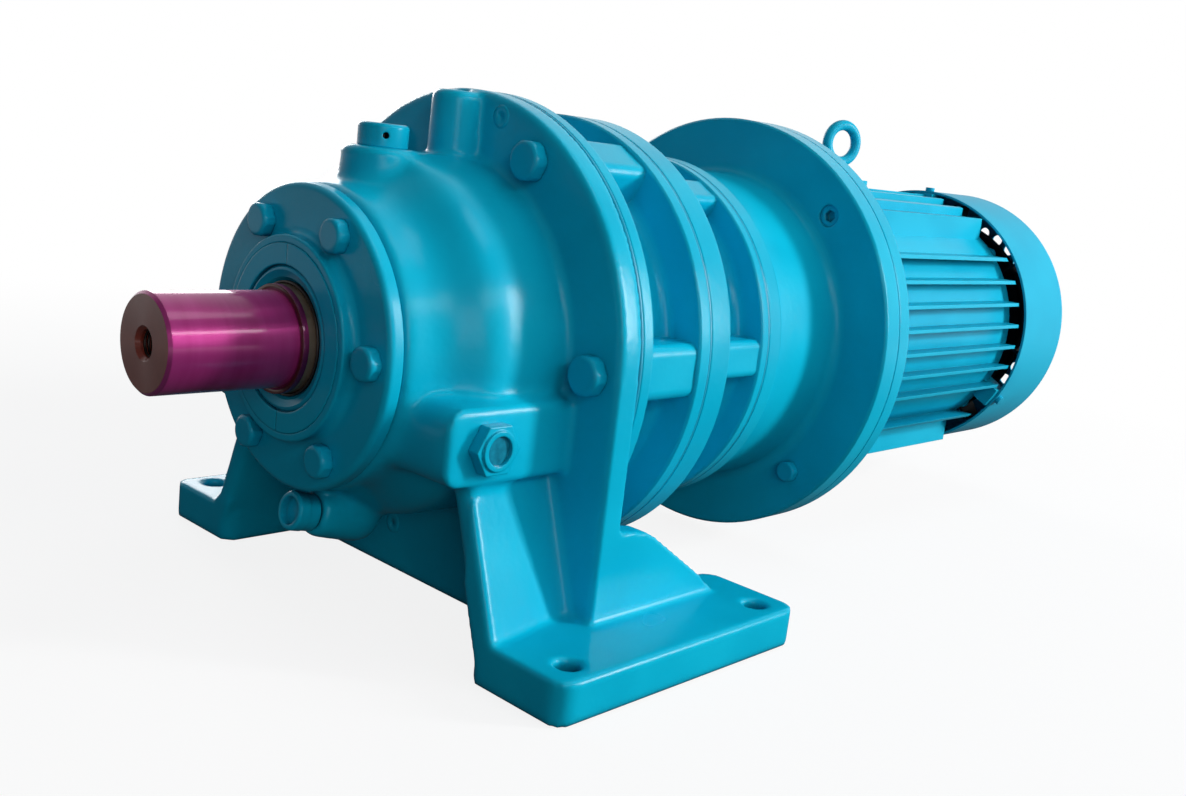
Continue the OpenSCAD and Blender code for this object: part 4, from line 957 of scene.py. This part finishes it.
    def locating_plugs(self) -> None:
        """Fill the two locating holes in the big flange with paint-covered filler."""
        outline = ((AXIS_MM, -3.0), (6.6, -3.0), (8.6, -0.4), (8.2, 0.0), (6.6, 0.25), (AXIS_MM, 0.3))
        face_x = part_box("ring_housing_low")[0][0] - self.flange_mm * MM
        reach = self.locating_r_mm * MM
        for number, turn in enumerate((self.locating_turn, self.locating_turn + 180), 1):
            angle = math.radians(turn)
            place = Vector((face_x, -math.sin(angle) * reach, SHAFT_HEIGHT + math.cos(angle) * reach))
            plug = RoundBead(outline, 48).mesh(f"locating_hole_filler_{number}")
            self.fit(plug, place, Vector((-1, 0, 0)), "housing", "gear_enamel", Finish.GEAR_ENAMEL)

    def joint_sealant(self) -> None:
        """Lay the beads of sealant that show in the grooves where flanges meet."""
        for node, rim_mm in self.joint_radii_mm:
            outline = bead_outline(rim_mm - self.sealant_mm - self.seam_inset_mm, self.sealant_mm)
            bead = RoundBead(outline).mesh(f"{node}_sealant")
            joint = Vector((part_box(node)[0][0], 0.0, SHAFT_HEIGHT))
            self.fit(bead, joint, Vector((1, 0, 0)), "housing", "gear_enamel", Finish.JOINT_SEALANT)


@dataclass
class Stages(Dressed):
    """Output shaft, intermediate shaft and the cycloid discs."""

    end_pitch_mm: float = 2.5
    end_runout_mm: tuple[float, float] = (2.5, 5.5)
    film_mm: float = 0.12
    film_edge_mm: float = 0.3
    dip_mm: float = 4.0
    shoulder_mm: float = 4.0
    coats: tuple[tuple[Finish, str], ...] = (
        (Finish.SHAFT_LACQUER, "output_shaft"),
        (Finish.WEAR_BRONZE, "wear_sleeve"),
        (Finish.GROUND_STEEL, "intermediate_shaft low_eccentric"),
        (Finish.BEARING_STEEL, "output_bearing_rings output_pins output_rollers"),
        (Finish.BEARING_STEEL, "intermediate_bearing_rings intermediate_pins intermediate_rollers"),
        (Finish.BEARING_STEEL, "low_disc_a low_disc_b low_disc_bearing_a low_disc_bearing_b"),
        (Finish.BEARING_STEEL, "high_disc_a high_disc_b high_disc_bearing_a high_disc_bearing_b"),
    )

    def build(self) -> None:
        """Dress the shafts and discs and cut the shaft's end thread."""
        self.dress()
        self.end_thread()
        self.shoulder_lacquer()

    def shoulder_lacquer(self) -> None:
        """Carry the lacquer over the shoulder, as the shaft was dipped past the wear sleeve's front."""
        low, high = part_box("wear_sleeve")
        outer = (high.z - low.z) / 2 / MM
        inner = outer - self.shoulder_mm
        film, edge, dip = self.film_mm, self.film_edge_mm, self.dip_mm
        outline = (
            (inner, 0.0), (inner, film), (outer - edge, film), (outer + film, -edge), (outer + film, -dip),
            (outer, -dip - film), (outer, 0.0),
        )
        skin = RoundBead(outline).mesh("shoulder_lacquer")
        # Turned in the mesh, so that the lacquer's grain still runs round the shaft.
        skin.transform(Matrix.Translation((low.x, 0.0, SHAFT_HEIGHT)) @ Matrix.Rotation(-math.pi / 2, 4, "Y"))
        self.fit(skin, Vector(), Vector((0, 0, 1)), "output", "shaft_lacquer", Finish.SHAFT_LACQUER)

    def end_thread(self) -> None:
        """Cut the end screw's thread in the shaft's centre hole."""
        hole = Mount.named("shaft_centre_thread")
        near, far = self.end_runout_mm
        thread = CutThread(hole.radius_mm, self.end_pitch_mm, hole.length_mm - near - far)
        mouth = hole.place - Vector(((hole.length_mm / 2 - near) * MM, 0, 0))
        ridge = thread.mesh("shaft_end_thread_ridge")
        self.fit(ridge, mouth, Vector((1, 0, 0)), "output", "shaft_lacquer", Finish.OILY_THREAD)


@dataclass
class Motor(Dressed):
    """Finned motor with its shields, cowl, lifting eye and terminal box."""

    coats: tuple[tuple[Finish, str], ...] = (
        (Finish.MOTOR_ENAMEL, "motor_frame rear_shield rear_shield_screws lifting_eye"),
        (Finish.MOTOR_ENAMEL, "terminal_box terminal_lid"),
        (Finish.COWL_ENAMEL, "fan_cowl cowl_screws"),
        (Finish.CORE_SHEETS, "stator_core rotor_core"),
        (Finish.VARNISHED_WIRE, "stator_windings"),
        (Finish.POLYAMIDE, "cable_gland cooling_fan"),
        (Finish.GROUND_STEEL, "terminal_screws motor_shaft high_eccentric fan_circlip"),
        (Finish.BEARING_STEEL, "motor_bearing_outer rotor_bearing_rings"),
    )
    fan_rim_mm: float = 3.0
    fan_rim_edge_mm: float = 1.0
    fan_rim_radii_mm: tuple[float, float] = (107.5, 114.8)

    def build(self) -> None:
        """Dress the motor and mould the fan's rim."""
        self.dress()
        self.fan_rim()

    def fan_rim(self) -> None:
        """Mould the stiffening rim round the fan's back disc."""
        half, edge = self.fan_rim_mm / 2, self.fan_rim_edge_mm
        inner, outer = self.fan_rim_radii_mm
        outline = (
            (inner, -half), (outer - edge, -half), (outer, edge - half), (outer, half - edge),
            (outer - edge, half), (inner, half),
        )
        place = Vector((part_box("cooling_fan")[1][0] - half * MM, 0.0, SHAFT_HEIGHT))
        rim = RoundBead(outline).mesh("fan_stiffening_rim")
        self.fit(rim, place, Vector((1, 0, 0)), "rotor", "black_plastic", Finish.POLYAMIDE)


# ---- studio ----------------------------------------------------------------------------

WHITE = linear("#ffffff")


@dataclass(frozen=True)
class SoftBox:
    """One soft rectangular lamp, placed by its direction from the gearmotor's middle."""

    name: str
    way: tuple[float, float, float]
    reach: float
    width: float
    height: float
    level: float

    def hang(self, aim: Vector) -> None:
        """Hang the lamp, at a power that lights a facing surface to its level.

        Args:
            aim: Place that it points at, in metres.
        """
        data = bpy.data.lights.new(self.name, "AREA")
        data.shape, data.size, data.size_y = "RECTANGLE", self.width, self.height
        data.energy = self.level * (math.pi * self.reach) ** 2
        lamp = placed(self.name, data)
        way = Vector(self.way).normalized()
        lamp.location = aim + way * self.reach
        lamp.rotation_mode = "QUATERNION"
        lamp.rotation_quaternion = way.to_track_quat("Z", "Y")
        lamp.visible_camera = False


@dataclass
class Studio:
    """Pale floor, soft boxes and a white surround."""

    floor_size: float = 16.0
    floor_z: float = -0.0008
    room_level: float = 0.13
    aim: Vector = field(default_factory=lambda: Vector((0.15, 0.0, 0.2)))
    backdrop_way: tuple[float, float, float] = (0.742, 0.670, 0.0)
    boxes: tuple[SoftBox, ...] = (
        SoftBox("tall_key_box", (0.62, -0.73, 0.27), 3.0, 0.36, 1.3, 0.80),
        SoftBox("streak_strip_box", (0.06, -0.86, 0.50), 3.0, 3.6, 0.28, 0.30),
        SoftBox("front_fill_box", (-0.62, -0.76, 0.22), 3.2, 1.0, 1.0, 0.11),
        SoftBox("overhead_box", (0.20, -0.30, 0.93), 2.8, 1.2, 1.2, 0.12),
        SoftBox("far_side_box", (0.25, 0.92, 0.30), 3.0, 1.2, 1.2, 0.30),
    )

    def build(self) -> None:
        """Make the floor, the soft boxes and the world."""
        self.floor()
        for box in self.boxes:
            box.hang(self.aim)
        self.world()

    def floor(self) -> None:
        """Lay the floor: white to the eye and in reflections, but with the object's shadow."""
        shape = bmesh.new()
        bmesh.ops.create_grid(shape, x_segments=1, y_segments=1, size=self.floor_size / 2)
        mesh = bpy.data.meshes.new("studio_floor")
        shape.to_mesh(mesh)
        shape.free()
        floor = placed("studio_floor", mesh)
        floor.location.z = self.floor_z
        floor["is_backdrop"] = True
        material, tree, where = blank_material("matt_white_studio_floor")
        white_paint = add(tree, "ShaderNodeBsdfDiffuse", {"Color": WHITE})
        underlit = add(tree, "ShaderNodeBsdfDiffuse", {"Color": linear("#4a5053")})
        glow = add(tree, "ShaderNodeEmission", {"Color": WHITE, "Strength": 1.0})
        away = add(tree, "ShaderNodeVectorMath", {0: where}, out="Value", operation="LENGTH")
        # The shadow lies near the object; further out the floor fades into the white backdrop.
        share = add(tree, "ShaderNodeMapRange", {
            "Value": away, "From Min": 0.75, "From Max": 1.6, "To Min": 0.86, "To Max": 1.0,
        })
        # In gloss the shaded floor close to the castings shows dark, as their undersides see it.
        gloss_share = add(tree, "ShaderNodeMapRange", {
            "Value": away, "From Min": 0.7, "From Max": 2.4, "To Min": 0.02, "To Max": 1.0,
        })
        to_eye = add(tree, "ShaderNodeLightPath", out="Is Camera Ray")
        glowing = add(tree, "ShaderNodeMix", {0: to_eye, 2: gloss_share, 3: share})
        paint = add(tree, "ShaderNodeMixShader", {0: to_eye, 1: underlit, 2: white_paint})
        seen = add(tree, "ShaderNodeMixShader", {0: glowing, 1: paint, 2: glow})
        # Camera, glossy and transmission rays see the white surround; the rest carry light.
        sees = add(tree, "ShaderNodeMath", {0: to_eye, 1: self.mirrored(tree)}, operation="MAXIMUM")
        shown = add(tree, "ShaderNodeMixShader", {0: sees, 1: underlit, 2: seen})
        add(tree, "ShaderNodeOutputMaterial", {"Surface": shown})
        mesh.materials.append(material)

    def mirrored(self, tree: Tree) -> Socket:
        """Tell the rays that a gloss or a glass sends on.

        Args:
            tree: Node tree that takes the nodes.

        Returns:
            1 for glossy and transmission rays, else 0.
        """
        gloss = add(tree, "ShaderNodeLightPath", out="Is Glossy Ray")
        through = add(tree, "ShaderNodeLightPath", out="Is Transmission Ray")
        return add(tree, "ShaderNodeMath", {0: gloss, 1: through}, operation="MAXIMUM")

    def world(self) -> None:
        """Light the room softly; it is white to the camera and, beyond the object, in gloss."""
        world = bpy.data.worlds.new("studio_room")
        world.use_nodes = True
        tree = world.node_tree
        tree.nodes.clear()
        way = add(tree, "ShaderNodeTexCoord", out="Generated")
        towards = add(
            tree, "ShaderNodeVectorMath", {0: way, 1: self.backdrop_way}, out="Value", operation="DOT_PRODUCT"
        )
        # The paper sweep stands behind the object; the room on the camera's side is dim.
        paper = add(tree, "ShaderNodeMapRange", {
            "Value": towards, "From Min": -0.1, "From Max": 0.6, "To Min": 0.12, "To Max": 1.0,
        })
        room = add(tree, "ShaderNodeBackground", {"Color": linear("#dcebff"), "Strength": self.room_level})
        sweep = add(tree, "ShaderNodeBackground", {"Color": WHITE, "Strength": paper})
        white = add(tree, "ShaderNodeBackground", {"Color": WHITE, "Strength": 1.0})
        behind = add(tree, "ShaderNodeMixShader", {0: self.mirrored(tree), 1: room, 2: sweep})
        to_eye = add(tree, "ShaderNodeLightPath", out="Is Camera Ray")
        shown = add(tree, "ShaderNodeMixShader", {0: to_eye, 1: behind, 2: white})
        add(tree, "ShaderNodeOutputWorld", {"Surface": shown})
        bpy.context.scene.world = world


# ---- reports ---------------------------------------------------------------------------


@dataclass(frozen=True)
class Feature:
    """What an image point names: the vertices of one piece inside a box of the row frame."""

    piece: str
    low: tuple[float, float, float] = (-9.0, -9.0, -9.0)
    high: tuple[float, float, float] = (9.0, 9.0, 9.0)

    def holds(self, place: Vector) -> bool:
        """Tell whether a vertex belongs to the feature.

        Args:
            place: The vertex in metres.

        Returns:
            True inside the box.
        """
        return all(a <= v <= b for a, v, b in zip(self.low, place, self.high))


FEATURES: dict[str, Feature] = {
    "shaft_end_centre": Feature("output_shaft", high=(-0.2795, 9.0, 9.0)),
    "vent_plug": Feature("vent_plug"),
    "vent_hole": Feature("vent_plug", (-0.135, -0.018, 0.3375), (-0.123, -0.012, 0.3425)),
    "sunk_flange_screw": Feature("motor_flange_screws", (-9.0, -0.15, 0.25), (9.0, -0.09, 0.36)),
    "lower_flange_screw": Feature("motor_flange_screws", (-9.0, -0.2, 0.04), (9.0, -0.09, 0.2)),
    "lifting_eye_hole": Feature("lifting_eye", (0.44, -0.012, 0.368), (0.49, 0.012, 0.397)),
    "cowl_screw": Feature("cowl_screws", (-9.0, -0.12, 0.2), (9.0, 0.12, 9.0)),
    "oil_gauge": Feature("oil_gauge"),
    "drain_plug": Feature("drain_plug"),
    "near_front_foot_hole": Feature("base_casting_skin", (-0.111, -0.226, 0.027), (-0.089, -0.204, 0.033)),
    "near_rear_foot_hole": Feature("base_casting_skin", (0.089, -0.226, 0.027), (0.111, -0.204, 0.033)),
}


@dataclass
class ShownPlaces:
    """Works out where finished vertices show in the photograph's frame."""

    camera: PhotoCamera
    slack: float = 0.0008
    places: dict[str, list[Vector]] = field(default_factory=dict)
    trees: list[BVHTree] = field(default_factory=list)

    def gather(self) -> None:
        """Collect every piece's finished vertices and faces."""
        graph = bpy.context.evaluated_depsgraph_get()
        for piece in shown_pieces():
            shape = piece.evaluated_get(graph)
            spots = [shape.matrix_world @ v.co for v in shape.data.vertices]
            self.places[piece.name] = spots
            self.trees.append(BVHTree.FromPolygons(spots, [tuple(p.vertices) for p in shape.data.polygons]))

    def shows(self, place: Vector) -> bool:
        """Tell whether nothing stands between the camera and a vertex.

        Args:
            place: The vertex in metres.

        Returns:
            True when it shows.
        """
        start = Vector(self.camera.place)
        way = place - start
        reach = way.length - self.slack
        return all(tree.ray_cast(start, way.normalized(), reach)[0] is None for tree in self.trees)

    def middle(self, feature: Feature) -> tuple[float, float] | None:
        """Find the middle of what shows of a feature.

        Args:
            feature: The feature.

        Returns:
            Its x and y in pixels, or nothing where it is hidden.
        """
        spots = [p for p in self.places[feature.piece] if feature.holds(p)]
        spots = spots[:: max(1, len(spots) // 1500)]
        seen = [self.camera.pixel(p) for p in spots if self.shows(p)]
        if not seen:
            return None
        across, down = [s[0] for s in seen], [s[1] for s in seen]
        return (min(across) + max(across)) / 2, (min(down) + max(down)) / 2

    def edge(self, axis: int, sign: int) -> float:
        """Find the furthest pixel that a showing vertex reaches.

        Args:
            axis: 0 for x and 1 for y.
            sign: -1 for the lowest and 1 for the highest.

        Returns:
            The pixel.
        """
        spots = [(sign * self.camera.pixel(p)[axis], p) for group in self.places.values() for p in group]
        spots.sort(key=lambda pair: -pair[0])
        for value, place in spots:
            if self.shows(place):
                return sign * value
        return sign * spots[0][0]


def write_points(camera: PhotoCamera) -> None:
    """Work out how far each named thing shows from its image point.

    Args:
        camera: The photograph's camera.
    """
    shown = ShownPlaces(camera)
    shown.gather()
    report: dict[str, dict[str, float | None]] = {
        "object_left": {"dx": round(shown.edge(0, -1) - IMAGE_POINTS["object_left"][0], 2)},
        "object_right": {"dx": round(shown.edge(0, 1) - IMAGE_POINTS["object_right"][0], 2)},
        "object_top": {"dy": round(shown.edge(1, -1) - IMAGE_POINTS["object_top"][1], 2)},
        "object_bottom": {"dy": round(shown.edge(1, 1) - IMAGE_POINTS["object_bottom"][1], 2)},
    }
    for name, feature in FEATURES.items():
        middle = shown.middle(feature)
        aim = IMAGE_POINTS[name]
        report[name] = (
            {"dx": None, "dy": None} if middle is None
            else {"dx": round(middle[0] - aim[0], 2), "dy": round(middle[1] - aim[1], 2)}
        )


def main() -> None:
    """Dress the gearmotor, set up the studio and work out how far named things show from their image points.
    """
    logging.basicConfig(level=logging.INFO, format="%(name)s %(message)s")
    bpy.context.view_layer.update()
    bpy.context.scene.view_settings.view_transform = "Standard"
    camera = PhotoCamera()
    camera.build()
    for part in (GearCase(camera), Stages(), Motor()):
        part.build()
    Studio().build()
    write_points(camera)


if __name__ == "__main__":
    main()
